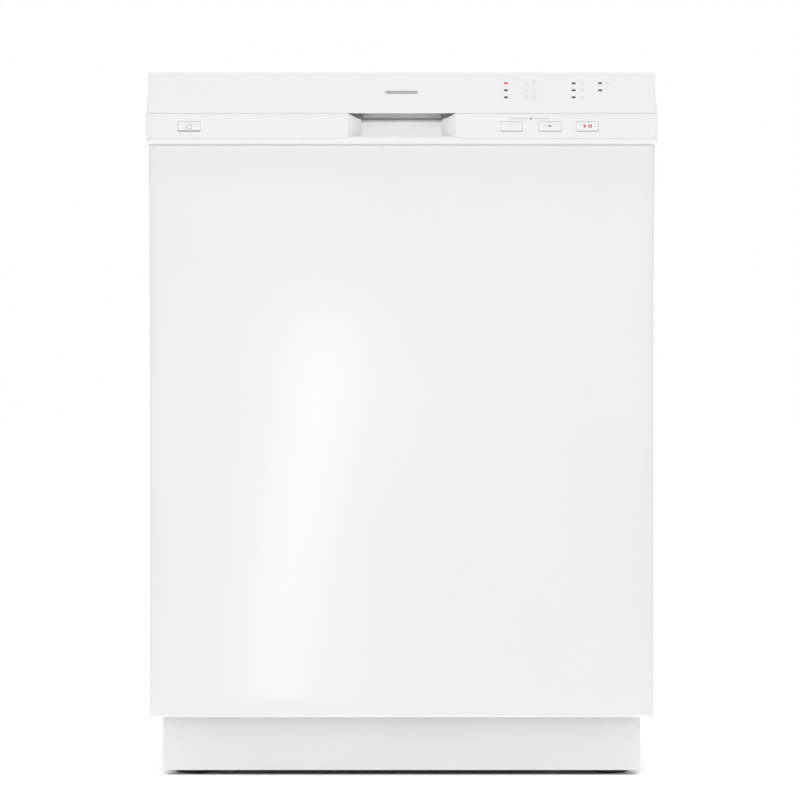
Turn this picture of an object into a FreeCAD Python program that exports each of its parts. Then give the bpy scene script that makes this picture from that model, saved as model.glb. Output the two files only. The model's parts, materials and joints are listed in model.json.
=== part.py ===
import FreeCAD, Part
import os
import re
import Sketcher
from FreeCAD import Placement, Rotation, Vector

# A built-under dishwasher for a 600 mm niche, in millimetres.
# +Z is up, the front faces -Y, the floor is Z = 0 and X = 0 is the middle.
# The body front (console face) is at Y = -front and the rear connections end at Y = +front.

doc = FreeCAD.newDocument("dishwasher")
sheet = doc.addObject("Spreadsheet::Sheet", "Sizes")

SIZES = {
    # overall
    "half_width": 299.0, "front": 285.0, "top_height": 830.0,
    # door
    "door_half": 296.0, "door_face": -268.0, "door_low": 74.0, "door_high": 746.2,
    "liner_face": -212.0, "liner_thick": 1.2, "liner_half": 284.0, "door_sheet": 0.9,
    "pivot_depth": -250.0, "pivot_height": 110.0, "pin_radius": 4.0, "run_gap": 0.08,
    # console
    "seam_height": 782.0, "console_low": 746.7, "skin": 3.0, "fascia_tilt": 1.4,
    "grip_half": 62.6, "grip_inner": 47.6, "grip_low": 754.0, "grip_lip": 0.8, "grip_high": 776.0,
    "grip_step": -273.0, "grip_back": -261.0, "grip_rear": -253.0, "grip_roof": 800.0,
    "button_wide": 26.0, "button_tall": 11.0, "button_height": 766.8, "button_gap": 0.3,
    "lens_wide": 4.5, "lens_tall": 2.2,
    # tub
    "tub_half": 278.0, "tub_front": -205.0, "tub_back": 262.0, "tub_floor_top": 150.0,
    "tub_ceiling": 800.0, "sheet_metal": 1.0,
    # cabinet
    "side_inner": 298.2, "side_sheet": 0.8, "side_back": 270.0, "tray_half": 280.0, "tray_front": -200.0,
    "tray_back": 265.0, "tray_low": 28.0, "tray_wall": 3.0,
    "bar_back": -200.5, "strike_low": 812.4, "strike_high": 815.4, "panel_foot": 84.0,
    "plinth_half": 284.5, "plinth_face": -209.5, "plinth_low": 5.6, "plinth_high": 72.0,
    # feet
    "foot_side": 250.0, "foot_front": -170.0, "foot_back": 235.0, "foot_pad": 22.0,
    "stem_radius": 5.0, "stem_gap": 0.4,
    # spray system and filter
    "hub_depth": 28.0, "arm_reach": 220.0, "arm_low": 164.0, "arm_thick": 12.0,
    "upper_arm_low": 470.0, "well_depth": -70.0, "well_half": 60.0, "filter_radius": 38.0,
    # racks
    "wire": 1.5, "lower_base": 190.0, "lower_rim": 330.0, "lower_side": 260.5,
    "lower_near": -172.0, "lower_far": 235.0, "wheel_radius": 18.0, "wheel_side": 264.0,
    "upper_base": 500.0, "upper_rim": 612.0, "upper_side": 252.0, "upper_near": -186.0,
    "upper_far": 238.0, "rail_low": 545.0, "rail_tall": 12.0,
}
for row, (alias, number) in enumerate(SIZES.items(), start=1):
    sheet.set("A%d" % row, alias.replace("_", " "))
    sheet.set("B%d" % row, str(number))
    sheet.setAlias("B%d" % row, alias)
doc.recompute()

# across and up: the lit lens comes first
LENSES = ((121.9, 817.3), (121.9, 809.1), (121.9, 800.8), (201.1, 817.3), (201.1, 809.1), (201.1, 800.8),
          (232.0, 817.3), (232.0, 809.1))
BUTTONS = (("button_power", -248.7), ("button_program", 128.5), ("button_option", 173.4),
           ("button_start", 217.1))
PARTS = []
SIDES = (("left", -1), ("right", 1))
TURN = {"Z": Rotation(), "X": Rotation(Vector(0, 1, 0), 90), "Y": Rotation(Vector(1, 0, 0), -90)}


def q(text):
    """An expression with every size name pointing at its spreadsheet cell."""
    return re.sub(r"[a-z]\w*", lambda m: "Sizes." + m.group() if m.group() in SIZES else m.group(),
                  str(text))


def place(item, x, y, z):
    for letter, text in zip("xyz", (x, y, z)):
        item.setExpression(".Placement.Base." + letter, q(text))
    return item


def keep(item, name):
    """Marks an object as a finished sub-part."""
    item.Label = name
    PARTS.append(item)
    return item


def box(name, x, y, z):
    """A block between a low and a high expression on each axis."""
    item = doc.addObject("Part::Box", name)
    for side, (low, high) in zip(("Length", "Width", "Height"), (x, y, z)):
        item.setExpression(side, q("(%s)-(%s)" % (high, low)))
    return place(item, x[0], y[0], z[0])


def mirrored(x, sign):
    """The span x = (low, high) on the right side, or its mirror image on the left."""
    return x if sign > 0 else ("-(%s)" % x[1], "-(%s)" % x[0])


def rod(name, axis, at, radius, length):
    item = doc.addObject("Part::Cylinder", name)
    item.setExpression("Radius", q(radius))
    item.setExpression("Height", q(length))
    item.Placement = Placement(Vector(), TURN[axis])
    return place(item, *at)


def join(name, items):
    item = doc.addObject("Part::MultiFuse", name)
    item.Shapes = items
    return item


def gather(name, items):
    item = doc.addObject("Part::Compound", name)
    item.Links = items
    return item


def carve(name, base, tools):
    item = doc.addObject("Part::Cut", name)
    item.Base = base
    item.Tool = tools[0] if len(tools) == 1 else join(name + "_tools", tools)
    return item


def outline(body, name, role, points, offset="0"):
    """A closed polygon on one of the body's own planes; every corner is bound to an expression."""
    plane = [f for f in body.Origin.OriginFeatures if f.Role == role][0]
    sketch = body.newObject("Sketcher::SketchObject", name)
    sketch.AttachmentSupport = [(plane, "")]
    sketch.MapMode = "FlatFace"
    sketch.setExpression(".AttachmentOffset.Base.z", q(offset))
    values = [tuple(float(number_now(t)) for t in p) for p in points]
    count = len(points)
    for i in range(count):
        a, b = values[i], values[(i + 1) % count]
        sketch.addGeometry(Part.LineSegment(Vector(a[0], a[1], 0), Vector(b[0], b[1], 0)))
    for i in range(count):
        sketch.addConstraint(Sketcher.Constraint("Coincident", i, 2, (i + 1) % count, 1))
    for i in range(count):
        for kind, k in (("DistanceX", 0), ("DistanceY", 1)):
            number = sketch.addConstraint(Sketcher.Constraint(kind, -1, 1, i, 1, values[i][k]))
            sketch.setExpression("Constraints[%d]" % number, q(points[i][k]))
    return sketch


def number_now(text):
    """The number an expression gives now, used as the sketch's starting shape."""
    probe.setExpression("Length", q("1000+(%s)" % text))
    probe.recompute()
    return probe.Length.Value - 1000.0


probe = doc.addObject("Part::Box", "number_probe")


def padded(name, role, points, low, high):
    """A polygon pushed from low to high along the normal of its plane."""
    body = doc.addObject("PartDesign::Body", name)
    sketch = outline(body, name + "_outline", role, points, low)
    pad = body.newObject("PartDesign::Pad", name + "_pad")
    pad.Profile = sketch
    pad.setExpression("Length", q("(%s)-(%s)" % (high, low)))
    body.Tip = pad
    return body


def turned(name, axis, at, points):
    """A profile of (radius, distance along the axis) spun about the axis."""
    body = doc.addObject("PartDesign::Body", name)
    sketch = outline(body, name + "_outline", "XZ_Plane", points)
    spin = body.newObject("PartDesign::Revolution", name + "_spin")
    spin.Profile = sketch
    spin.ReferenceAxis = (sketch, ["V_Axis"])
    spin.Angle = 360
    body.Tip = spin
    body.Placement = Placement(Vector(), TURN[axis])
    return place(body, *at)


def soften(body, radius, wanted):
    """Rounds the edges of the body's last feature that the test picks."""
    doc.recompute()
    last = body.Tip
    names = ["Edge%d" % (i + 1) for i, e in enumerate(last.Shape.Edges) if wanted(e)]
    item = body.newObject("PartDesign::Fillet", body.Name + "_fillet_%d" % len(body.Group))
    item.Base = (last, names)
    item.setExpression("Radius", q(radius))
    body.Tip = item
    return body


def runs_along(letter):
    """A test for straight edges parallel to one axis."""
    index = "xyz".index(letter)

    def test(edge):
        if len(edge.Vertexes) != 2:
            return False
        step = edge.Vertexes[1].Point - edge.Vertexes[0].Point
        return abs(step[index]) > 0.999 * step.Length and step.Length > 0
    return test


# ---------------------------------------------------------------- cabinet

def tub():
    walls = []
    for side, sign in SIDES:
        walls.append(box("tub_wall_" + side, mirrored(("tub_half", "tub_half+sheet_metal"), sign),
                         ("tub_front", "tub_back"), ("tub_floor_top-sheet_metal", "tub_ceiling+sheet_metal")))
        walls.append(box("tub_flange_" + side, mirrored(("tub_half+sheet_metal", "294"), sign),
                         ("tub_front", "tub_front+sheet_metal"), ("140", "812")))
    walls.append(box("tub_top", ("-tub_half", "tub_half"), ("tub_front", "tub_back"),
                     ("tub_ceiling", "tub_ceiling+sheet_metal")))
    walls.append(box("tub_flange_top", ("-tub_half-sheet_metal", "tub_half+sheet_metal"),
                     ("tub_front", "tub_front+sheet_metal"), ("tub_ceiling+sheet_metal", "812")))
    walls.append(box("tub_back_wall", ("-tub_half-sheet_metal", "tub_half+sheet_metal"),
                     ("tub_back", "tub_back+sheet_metal"),
                     ("tub_floor_top-sheet_metal", "tub_ceiling+sheet_metal")))
    keep(gather("tub_wrap", walls), "tub_wrap")
    heights = ("tub_floor_top-sheet_metal", "tub_floor_top")
    floor = [
        box("floor_left", ("-tub_half", "-well_half"), ("tub_front", "tub_back"), heights),
        box("floor_right", ("well_half", "tub_half"), ("tub_front", "tub_back"), heights),
        box("floor_front", ("-well_half", "well_half"), ("tub_front", "well_depth-well_half"), heights),
        box("floor_rear", ("-well_half", "well_half"), ("well_depth+well_half", "tub_back"), heights),
    ]
    keep(gather("tub_floor", floor), "tub_floor")


def gasket():
    bars = [box("seal_" + side, mirrored(("tub_half+1", "tub_half+11"), sign),
                ("liner_face+0.3", "tub_front"), ("tub_floor_top", "808")) for side, sign in SIDES]
    bars.append(box("seal_top", ("-tub_half-1", "tub_half+1"), ("liner_face+0.3", "tub_front"),
                    ("tub_ceiling+1", "808")))
    bars.append(box("seal_foot", ("-tub_half-11", "tub_half+11"), ("tub_front-4.4", "tub_front"),
                    ("140", "tub_floor_top-0.2")))
    keep(gather("door_gasket", bars), "door_gasket")


def side_panels():
    for side, sign in SIDES:
        plate = box(side + "_plate", mirrored(("side_inner", "half_width"), sign),
                    ("tub_front+2", "side_back"), ("panel_foot", "826"))
        lip = box(side + "_lip", mirrored(("294.4", "side_inner"), sign),
                  ("tub_front+2", "tub_front+2+side_sheet"), ("135", "826"))
        rear_lip = box(side + "_rear_lip", mirrored(("284", "side_inner"), sign),
                       ("side_back-side_sheet", "side_back"), ("150", "826"))
        press = [box(side + "_press_%d" % k, mirrored(("side_inner-1", "side_inner"), sign),
                     ("-150", "220"), ("%d" % (230 + 180 * k), "%d" % (242 + 180 * k))) for k in range(3)]
        keep(join(side + "_side_panel", [plate, lip, rear_lip] + press), side + "_side_panel")


def foot_places():
    return [(side + "_" + end, sign, depth) for side, sign in SIDES
            for end, depth in (("front", "foot_front"), ("rear", "foot_back"))]


def base_tray():
    shell = box("tray_block", ("-tray_half", "tray_half"), ("tray_front", "tray_back"),
                ("tray_low", "tub_floor_top-sheet_metal"))
    hollow = box("tray_hollow", ("-tray_half+tray_wall", "tray_half-tray_wall"),
                 ("tray_front+tray_wall", "tray_back-tray_wall"), ("tray_low+tray_wall", "tub_floor_top"))
    tray = carve("tray_shell", shell, [hollow])
    sockets, bores = [], []
    for tag, sign, depth in foot_places():
        at = ("%d*foot_side" % sign, depth, "tray_low")
        sockets.append(rod("socket_" + tag, "Z", at, "14", "72"))
        bores.append(rod("bore_" + tag, "Z", at, "stem_radius+stem_gap", "80"))
    for k, (x, y) in enumerate(((120, 1), (-75, 1), (95, -1))):
        sockets.append(box("tray_rib_%d" % k, (str(x), str(x + 3)), ("tray_front+1", "tray_back-1"),
                           ("tray_low+1", "tray_low+8")))
    keep(carve("base_tray", join("tray_body", [tray] + sockets), bores), "base_tray")


def feet():
    for tag, sign, depth in foot_places():
        foot = turned("foot_" + tag, "Z", ("%d*foot_side" % sign, depth, "0"),
                      [("0", "0"), ("foot_pad-2", "0"), ("foot_pad", "2"), ("foot_pad", "7"),
                       ("foot_pad-9", "12"), ("stem_radius", "12"), ("stem_radius", "88"), ("0", "88")])
        keep(foot, "foot_" + tag)


def rear_cover():
    plate = box("rear_plate", ("-side_inner+1", "side_inner-1"), ("side_back", "side_back+side_sheet"),
                ("150", "826"))
    beads = [box("rear_bead_%d" % k, ("-200", "200"), ("side_back+side_sheet", "side_back+2"),
                 ("%d" % (300 + 150 * k), "%d" % (312 + 150 * k))) for k in range(3)]
    keep(join("rear_cover", [plate] + beads), "rear_cover")


def top_mat():
    mat = padded("top_insulation_mat", "XY_Plane",
                 [("-262", "-190"), ("262", "-190"), ("262", "252"), ("-262", "252")],
                 "tub_ceiling+sheet_metal", "tub_ceiling+sheet_metal+5")
    keep(soften(mat, "12", runs_along("z")), "top_insulation_mat")


def crossbar():
    face = box("bar_face", ("-294", "294"), ("-202", "bar_back"), ("802", "826"))
    shelf = box("bar_shelf", ("-side_inner", "side_inner"), ("bar_back", "-160"), ("824.5", "826"))
    tabs = [box("bar_tab_" + side, mirrored(("215", "265"), sign), ("bar_back", "-164"), ("826", "828"))
            for side, sign in SIDES]
    cuts = [rod("screw_hole_" + side, "Z", ("%d*240" % sign, "-182", "820"), "2.75", "12")
            for side, sign in SIDES]
    cuts.append(box("strike_slot", ("-10.4", "10.4"), ("-204", "bar_back+1"),
                    ("strike_low-0.4", "strike_high+0.4")))
    keep(carve("front_crossbar", join("bar_body", [face, shelf] + tabs), cuts), "front_crossbar")
    tongue = padded("strike_tongue", "XY_Plane",
                    [("-10", "bar_back"), ("-10", "-240"), ("-6", "-243"), ("6", "-243"), ("10", "-240"),
                     ("10", "bar_back")], "strike_low", "strike_high")
    eye = box("strike_eye", ("-5", "5"), ("-238", "-228"), ("strike_low-1", "strike_high+1"))
    root = box("strike_root", ("-18", "18"), ("bar_back", "-180"), ("strike_low-2", "strike_high+8"))
    keep(join("door_strike", [carve("strike_blade", tongue, [eye]), root]), "door_strike")


def plinth():
    plate = box("plinth_plate", ("-plinth_half", "plinth_half"), ("plinth_face", "plinth_face+2"),
                ("plinth_low", "plinth_high"))
    ends = [box("plinth_end_" + side, mirrored(("plinth_half-2", "plinth_half"), sign),
                ("plinth_face+2", "-190"), ("plinth_low", "plinth_high")) for side, sign in SIDES]
    clips = [box("plinth_clip_" + side, mirrored(("140", "170"), sign), ("plinth_face+2", "tray_front"),
                 ("40", "52")) for side, sign in SIDES]
    keep(join("plinth", [plate] + ends + clips), "plinth")


def hinge_parts():
    plates, arms = [], []
    for side, sign in SIDES:
        x = mirrored(("290.5", "293.5"), sign)
        plate = padded("bracket_" + side, "YZ_Plane",
                       [("-256", "104"), ("-244", "104"), ("-226", "107"), ("-206", "107"), ("-196", "96"),
                        ("-60", "96"), ("-60", "118"), ("-244", "120"), ("-256", "118")], x[0], x[1])
        start = "-290.5" if sign < 0 else "283"
        pin = rod("pin_" + side, "X", (start, "pivot_depth", "pivot_height"), "pin_radius", "7.5")
        foot = box("bracket_foot_" + side, mirrored(("tray_half", "290.5"), sign), ("-120", "-100"),
                   ("96", "112"))
        anchor = box("anchor_" + side, mirrored(("tray_half", "293"), sign), ("-58", "-52"), ("100", "132"))
        plates += [join("bracket_body_" + side, [plate, pin, foot]), anchor]
        y = mirrored(("284.5", "290"), sign)
        arm = padded("arm_plate_" + side, "YZ_Plane",
                     [("-260", "100"), ("-240", "98"), ("-207", "118"), ("-206", "128"), ("-226", "136"),
                      ("-236", "250"), ("-258", "250")], y[0], y[1])
        bore = rod("arm_bore_" + side, "X", ("-295" if sign < 0 else "280", "pivot_depth", "pivot_height"),
                   "pin_radius+run_gap", "15")
        arms.append(carve("arm_" + side, arm, [bore]))
    keep(gather("hinge_brackets", plates), "hinge_brackets")
    keep(gather("hinge_arms", arms), "hinge_arms")


def hinge_springs():
    coils = []
    for side, sign in SIDES:
        profile, turns = [("0", "0")], 18
        for k in range(turns):
            profile += [("3.6", "%.2f" % (7.8 * k + 0.01)), ("5.4", "%.2f" % (7.8 * k + 3.9))]
        profile += [("3.6", "%.2f" % (7.8 * turns)), ("0", "%.2f" % (7.8 * turns))]
        coils.append(turned("coil_" + side, "Y", ("%d*287.2" % sign, "-202.4", "122.5"), profile))
    keep(gather("hinge_springs", coils), "hinge_springs")


def wet_parts():
    well = ("0", "well_depth", "0")
    keep(turned("sump", "Z", well,
                [("0", "60"), ("50", "60"), ("58", "74"), ("58", "147.5"), ("54", "147.5"),
                 ("54", "76"), ("48", "66"), ("0", "66")]), "sump")
    plate = box("fine_plate", ("-well_half+0.5", "well_half-0.5"),
                ("well_depth-well_half+0.5", "well_depth+well_half-0.5"), ("147.5", "149.5"))
    hole = rod("fine_hole", "Z", ("0", "well_depth", "140"), "filter_radius+4.5", "20")
    keep(carve("fine_filter", plate, [hole]), "fine_filter")
    cage = turned("filter_cage", "Z", well, [("0", "78"), ("34", "78"), ("filter_radius", "84"),
                                              ("filter_radius", "149.8"), ("filter_radius+3", "149.8"),
                                              ("filter_radius+3", "152.5"), ("0", "152.5")])
    grip = box("filter_grip", ("-28", "28"), ("well_depth-4", "well_depth+4"), ("152", "161"))
    keep(join("filter_cylinder", [cage, grip]), "filter_cylinder")

    pump = turned("pump_motor", "X", ("40", "90", "84"),
                  [("0", "0"), ("46", "0"), ("48", "6"), ("48", "40"), ("40", "44"), ("40", "120"),
                   ("34", "128"), ("0", "128")])
    drain = turned("drain_motor", "X", ("-140", "120", "70"),
                   [("0", "0"), ("26", "0"), ("26", "50"), ("34", "54"), ("34", "76"), ("0", "76")])
    keep(gather("wash_and_drain_pumps", [pump, drain]), "wash_and_drain_pumps")

    tank = padded("softener_tank", "XY_Plane", [("-268", "-150"), ("-160", "-150"), ("-160", "20"),
                                                ("-268", "20")], "40", "146")
    soften(tank, "10", runs_along("z"))
    neck = turned("salt_neck", "Z", ("-212", "-140", "150"),
                  [("26", "0"), ("33", "0"), ("33", "6"), ("30", "6"), ("30", "13"), ("26", "13")])
    keep(gather("water_softener", [tank, neck]), "water_softener")
    cap = turned("salt_lid", "Z", ("-212", "-140", "0"),
                 [("0", "163.5"), ("30.4", "163.5"), ("30.4", "156.4"), ("34", "156.4"), ("34", "167"),
                  ("31", "170"), ("0", "170")])
    bar = box("salt_bar", ("-238", "-186"), ("-143.5", "-136.5"), ("169", "176"))
    keep(join("salt_cap", [cap, bar]), "salt_cap")
    keep(turned("float_dome", "Z", ("220", "-150", "0"),
                [("0", "150.4"), ("20", "150.4"), ("20", "164"), ("16", "170"), ("9", "172.5"),
                 ("0", "172.5")]),
         "float_dome")


def spray_parts():
    duct = box("duct_riser", ("-14", "14"), ("248", "tub_back"), ("150", "800"))
    ceiling = box("duct_ceiling", ("-12", "12"), ("hub_depth", "248"), ("790", "800"))
    head = turned("duct_head", "Z", ("0", "hub_depth", "0"),
                  [("0", "782"), ("22", "782"), ("30", "790"), ("30", "796"), ("0", "796")])
    post = turned("duct_post", "Z", ("0", "hub_depth", "0"),
                  [("0", "150"), ("20", "150"), ("14", "arm_low-0.5"), ("6", "arm_low-0.5"),
                   ("6", "arm_low+arm_thick+6"), ("0", "arm_low+arm_thick+6")])
    keep(gather("spray_feed", [join("duct_body", [duct, ceiling, head]), post]), "spray_feed")
    for name, low in (("lower_spray_arm", "arm_low"), ("upper_spray_arm", "upper_arm_low")):
        blade = padded(name + "_blade", "XY_Plane",
                       [("-arm_reach+9", "13"), ("-arm_reach", "5"), ("-arm_reach", "-9"),
                        ("-arm_reach+9", "-15"), ("-40", "-24"), ("arm_reach-9", "-13"), ("arm_reach", "-5"),
                        ("arm_reach", "9"), ("arm_reach-9", "15"), ("40", "24")], low, low + "+arm_thick")
        soften(blade, "3", runs_along("x"))
        place(blade, "0", "hub_depth", "0")
        hole = rod(name + "_hole", "Z", ("0", "hub_depth", low + "-5"), "6+run_gap", "30")
        keep(carve(name, blade, [hole]), name)
    tube = box("feed_tube", ("-9", "9"), ("hub_depth", "244"), ("486", "497"))
    knob = turned("feed_knob", "Z", ("0", "hub_depth", "0"),
                  [("0", "464"), ("14", "464"), ("16", "469"), ("6", "469.5"),
                   ("6", "upper_arm_low+arm_thick+0.5"), ("18", "upper_arm_low+arm_thick+0.5"),
                   ("18", "497"), ("0", "497")])
    keep(join("upper_arm_feed", [tube, knob]), "upper_arm_feed")


def service_parts():
    body = box("valve_body", ("175", "215"), ("225", "tray_back-tray_wall"), ("60", "100"))
    stub = turned("valve_stub", "Y", ("195", "0", "80"),
                  [("9", "tray_back"), ("13.2", "tray_back"), ("13.2", "front"), ("9", "front")])
    keep(gather("inlet_valve", [body, stub]), "inlet_valve")
    keep(turned("drain_outlet", "Y", ("-215", "0", "70"),
                [("8", "tray_back"), ("13", "tray_back"), ("13", "tray_back+4"), ("10.5", "tray_back+4"),
                 ("10.5", "front"), ("8", "front")]), "drain_outlet")
    keep(turned("mains_inlet", "Y", ("-120", "0", "64"),
                [("4.5", "tray_back"), ("13", "tray_back"), ("13", "tray_back+4"), ("9", "tray_back+6"),
                 ("7.5", "front-4"), ("4.5", "front-4")]), "mains_inlet")
    tank = padded("air_break_chamber", "YZ_Plane",
                  [("-30", "240"), ("170", "220"), ("190", "400"), ("170", "620"), ("0", "600"),
                   ("-40", "430")], "-295", "-282")
    keep(tank, "air_break_chamber")


def rail_guides():
    pieces = []
    for side, sign in SIDES:
        for k, near in enumerate((-200, 20)):
            y = ("%d" % near, "%d" % (near + 50))
            back = box("guide_back_%s_%d" % (side, k), mirrored(("270.5", "tub_half"), sign), y,
                       ("rail_low-5", "rail_low+rail_tall+5"))
            low = box("guide_low_%s_%d" % (side, k), mirrored(("262", "270.5"), sign), y,
                      ("rail_low-5", "rail_low-0.5"))
            high = box("guide_high_%s_%d" % (side, k), mirrored(("262", "270.5"), sign), y,
                       ("rail_low+rail_tall+0.5", "rail_low+rail_tall+5"))
            pieces += [back, low, high]
    keep(gather("upper_rail_guides", pieces), "upper_rail_guides")
    bars = [box("rail_" + side, mirrored(("263.5", "270"), sign), ("-190", "245"),
                ("rail_low", "rail_low+rail_tall")) for side, sign in SIDES]
    arms = [box("rail_arm_%s_%d" % (side, k), mirrored(("upper_side+3.8", "263.5"), sign),
                ("%d" % y, "%d" % (y + 14)), ("rail_low+1", "rail_low+rail_tall-1"))
            for side, sign in SIDES for k, y in enumerate((-160, 210))]
    keep(gather("upper_rails", bars + arms), "upper_rails")


# ---------------------------------------------------------------- door

def door_shell():
    shell = padded("panel_block", "YZ_Plane",
                   [("door_face", "door_low"), ("-256", "door_low"), ("-215", "97"), ("-215", "door_high"),
                    ("door_face", "door_high")], "-door_half", "door_half")
    soften(shell, "1.2", lambda e: e.BoundBox.YMax < -267.9 and e.Length > 100)
    hollow = box("panel_hollow", ("-door_half+door_sheet", "door_half-door_sheet"),
                 ("door_face+door_sheet", "-210"), ("door_low+door_sheet", "door_high-door_sheet"))
    keep(carve("outer_door_panel", shell, [hollow]), "outer_door_panel")

    sheet_body = padded("liner_sheet", "XZ_Plane",
                        [("-liner_half", "100"), ("liner_half", "100"), ("liner_half", "826"),
                         ("-liner_half", "826")], "-liner_face", "-liner_face+liner_thick")
    soften(sheet_body, "12", runs_along("y"))
    window = box("liner_window", ("-80", "100"), ("-220", "-205"), ("415", "525"))
    slot = box("liner_slot", ("-15", "15"), ("-220", "-205"), ("804", "818"))
    keep(carve("inner_door_liner", sheet_body, [window, slot]), "inner_door_liner")

    mat = padded("door_insulation", "XZ_Plane", [("-278", "120"), ("278", "120"), ("278", "730"),
                                                 ("-278", "730")], "258", "266")
    keep(soften(mat, "10", runs_along("y")), "door_insulation")


def console():
    top = padded("fascia_block", "YZ_Plane",
                 [("-front", "seam_height+0.3"), ("-front+fascia_tilt", "top_height-2"),
                  ("-front+fascia_tilt+2", "top_height"), ("-214.2", "top_height"),
                  ("-214.2", "seam_height+0.3")], "-half_width", "half_width")
    cuts = [box("fascia_hollow", ("-half_width+5", "half_width-5"), ("-front+5", "-210"),
                ("seam_height-1", "top_height-skin"))]
    for side, sign in SIDES:
        points = [("%d*(half_width+0.01)" % sign, "seam_height+2"), ("%d*(half_width-2.2)" % sign, "808"),
                  ("%d*(half_width-2.6)" % sign, "top_height+1"),
                  ("%d*(half_width+5)" % sign, "top_height+1"),
                  ("%d*(half_width+5)" % sign, "seam_height+2")]
        cuts.append(padded("fascia_side_" + side, "XZ_Plane", points, "200", "300"))
    lenses, holes = [], []
    for k, (x, z) in enumerate(LENSES):
        spans = (("%.1f-lens_wide/2" % x, "%.1f+lens_wide/2" % x),
                 ("%.1f-lens_tall/2" % z, "%.1f+lens_tall/2" % z))
        lenses.append(box("lens_%d" % k, spans[0], ("-front+0.6", "-front+5"), spans[1]))
        holes.append(box("lens_hole_%d" % k, spans[0], ("-front-1", "-front+6"), spans[1]))
    keep(carve("upper_fascia", top, cuts + holes), "upper_fascia")
    keep(lenses[0], "lit_indicator")
    keep(gather("indicator_windows", lenses[1:]), "indicator_windows")

    low = padded("console_block", "XZ_Plane",
                 [("-half_width+2", "console_low"), ("half_width-2", "console_low"),
                  ("half_width", "console_low+3"), ("half_width", "seam_height-0.3"),
                  ("-half_width", "seam_height-0.3"), ("-half_width", "console_low+3")], "214.2", "front")
    cuts = [box("console_hollow", ("-half_width+4", "half_width-4"), ("-front+skin", "-210"),
                ("console_low+skin", "seam_height+1")),
            box("console_notch", ("-grip_half-0.2", "grip_half+0.2"), ("-front-1", "-front+skin+1"),
                ("grip_low", "seam_height+1"))]
    for name, x in BUTTONS:
        cuts.append(box("hole_" + name,
                        ("%.1f-button_wide/2-button_gap" % x, "%.1f+button_wide/2+button_gap" % x),
                        ("-front-1", "-front+skin+1"),
                        ("button_height-button_tall/2-button_gap", "button_height+button_tall/2+button_gap")))
    keep(carve("lower_console", low, cuts), "lower_console")


def buttons():
    for name, x in BUTTONS:
        cap = padded(name + "_cap", "XZ_Plane",
                     [("-button_wide/2", "-button_tall/2"), ("button_wide/2", "-button_tall/2"),
                      ("button_wide/2", "button_tall/2"), ("-button_wide/2", "button_tall/2")],
                     "front-8", "front")
        soften(cap, "1.5", runs_along("y"))
        place(cap, "%.1f" % x, "0", "button_height")
        flange = box(name + "_flange", ("%.1f-button_wide/2-2" % x, "%.1f+button_wide/2+2" % x),
                     ("-front+skin+0.3", "-front+skin+1.8"),
                     ("button_height-button_tall/2-2", "button_height+button_tall/2+2"))
        stem = box(name + "_stem", ("%.1f-2" % x, "%.1f+2" % x), ("-front+7", "-front+12"),
                   ("button_height-2", "button_height+2"))
        keep(join(name, [cap, flange, stem]), name)


def grip():
    scoop = padded("grip_scoop", "YZ_Plane",
                   [("-front+0.2", "grip_low"), ("-front+0.2", "grip_low+grip_lip"),
                    ("grip_step", "grip_low+grip_lip+0.4"), ("grip_back", "grip_high"),
                    ("grip_back+skin", "grip_high"), ("grip_step+skin", "grip_low-2.6"),
                    ("-front+skin+0.2", "grip_low-2.6"), ("-front+skin+0.2", "grip_low")],
                   "-grip_inner", "grip_inner")
    across = ("-grip_inner-skin", "grip_inner+skin")
    rear = box("grip_rear_wall", across, ("grip_rear", "grip_rear+skin"),
               ("grip_high-skin", "grip_roof+skin"))
    ledge = box("grip_ledge", across, ("grip_back+1", "grip_rear+skin"), ("grip_high-skin", "grip_high-0.5"))
    roof = box("grip_roof_wall", across, ("-front+5.3", "grip_rear+skin"), ("grip_roof", "grip_roof+skin"))
    pieces = [scoop, rear, ledge, roof]
    for side, sign in SIDES:
        pieces.append(padded("grip_flare_" + side, "XY_Plane",
                             [("%d*grip_half" % sign, "-front+0.2"), ("%d*grip_inner" % sign, "grip_step"),
                              ("%d*grip_inner" % sign, "grip_step+4"), ("%d*grip_half" % sign, "-front+3.8")],
                             "grip_low", "grip_high"))
        pieces.append(box("grip_cheek_" + side, mirrored(("grip_inner", "grip_inner+skin"), sign),
                          ("grip_step+1", "grip_rear+skin"), ("grip_low-2.6", "grip_roof+skin")))
        pieces.append(box("grip_brow_" + side, mirrored(("grip_inner", "grip_inner+skin"), sign),
                          ("-front+5.3", "grip_step+2"), ("seam_height+1", "grip_roof+skin")))
        pieces.append(padded("grip_toe_" + side, "XY_Plane",
                             [("%d*grip_half" % sign, "-front+0.2"), ("%d*grip_half" % sign, "-front+3.8"),
                              ("%d*(grip_inner-0.5)" % sign, "grip_step+skin"),
                              ("%d*(grip_inner-0.5)" % sign, "-front+0.2")], "grip_low", "grip_low+grip_lip"))
    keep(join("handle_pocket", pieces), "handle_pocket")

    plate = padded("lever_plate", "YZ_Plane",
                   [("-257.4", "779"), ("-255.4", "779"), ("-254.8", "795"), ("-254.8", "799"),
                    ("-257.4", "799")], "-grip_inner+1.4", "grip_inner-1.4")
    pin = rod("lever_pin", "X", ("-grip_inner+0.3", "-256.1", "797"), "1.2", "2*grip_inner-0.6")
    keep(join("latch_lever", [plate, pin]), "latch_lever")

    block = box("latch_block", ("-35", "35"), ("-248", "-214.2"), ("786", "822"))
    throat = box("latch_throat", ("-15", "15"), ("-246", "-210"), ("804", "818"))
    keep(carve("latch_housing", block, [throat]), "latch_housing")


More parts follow.
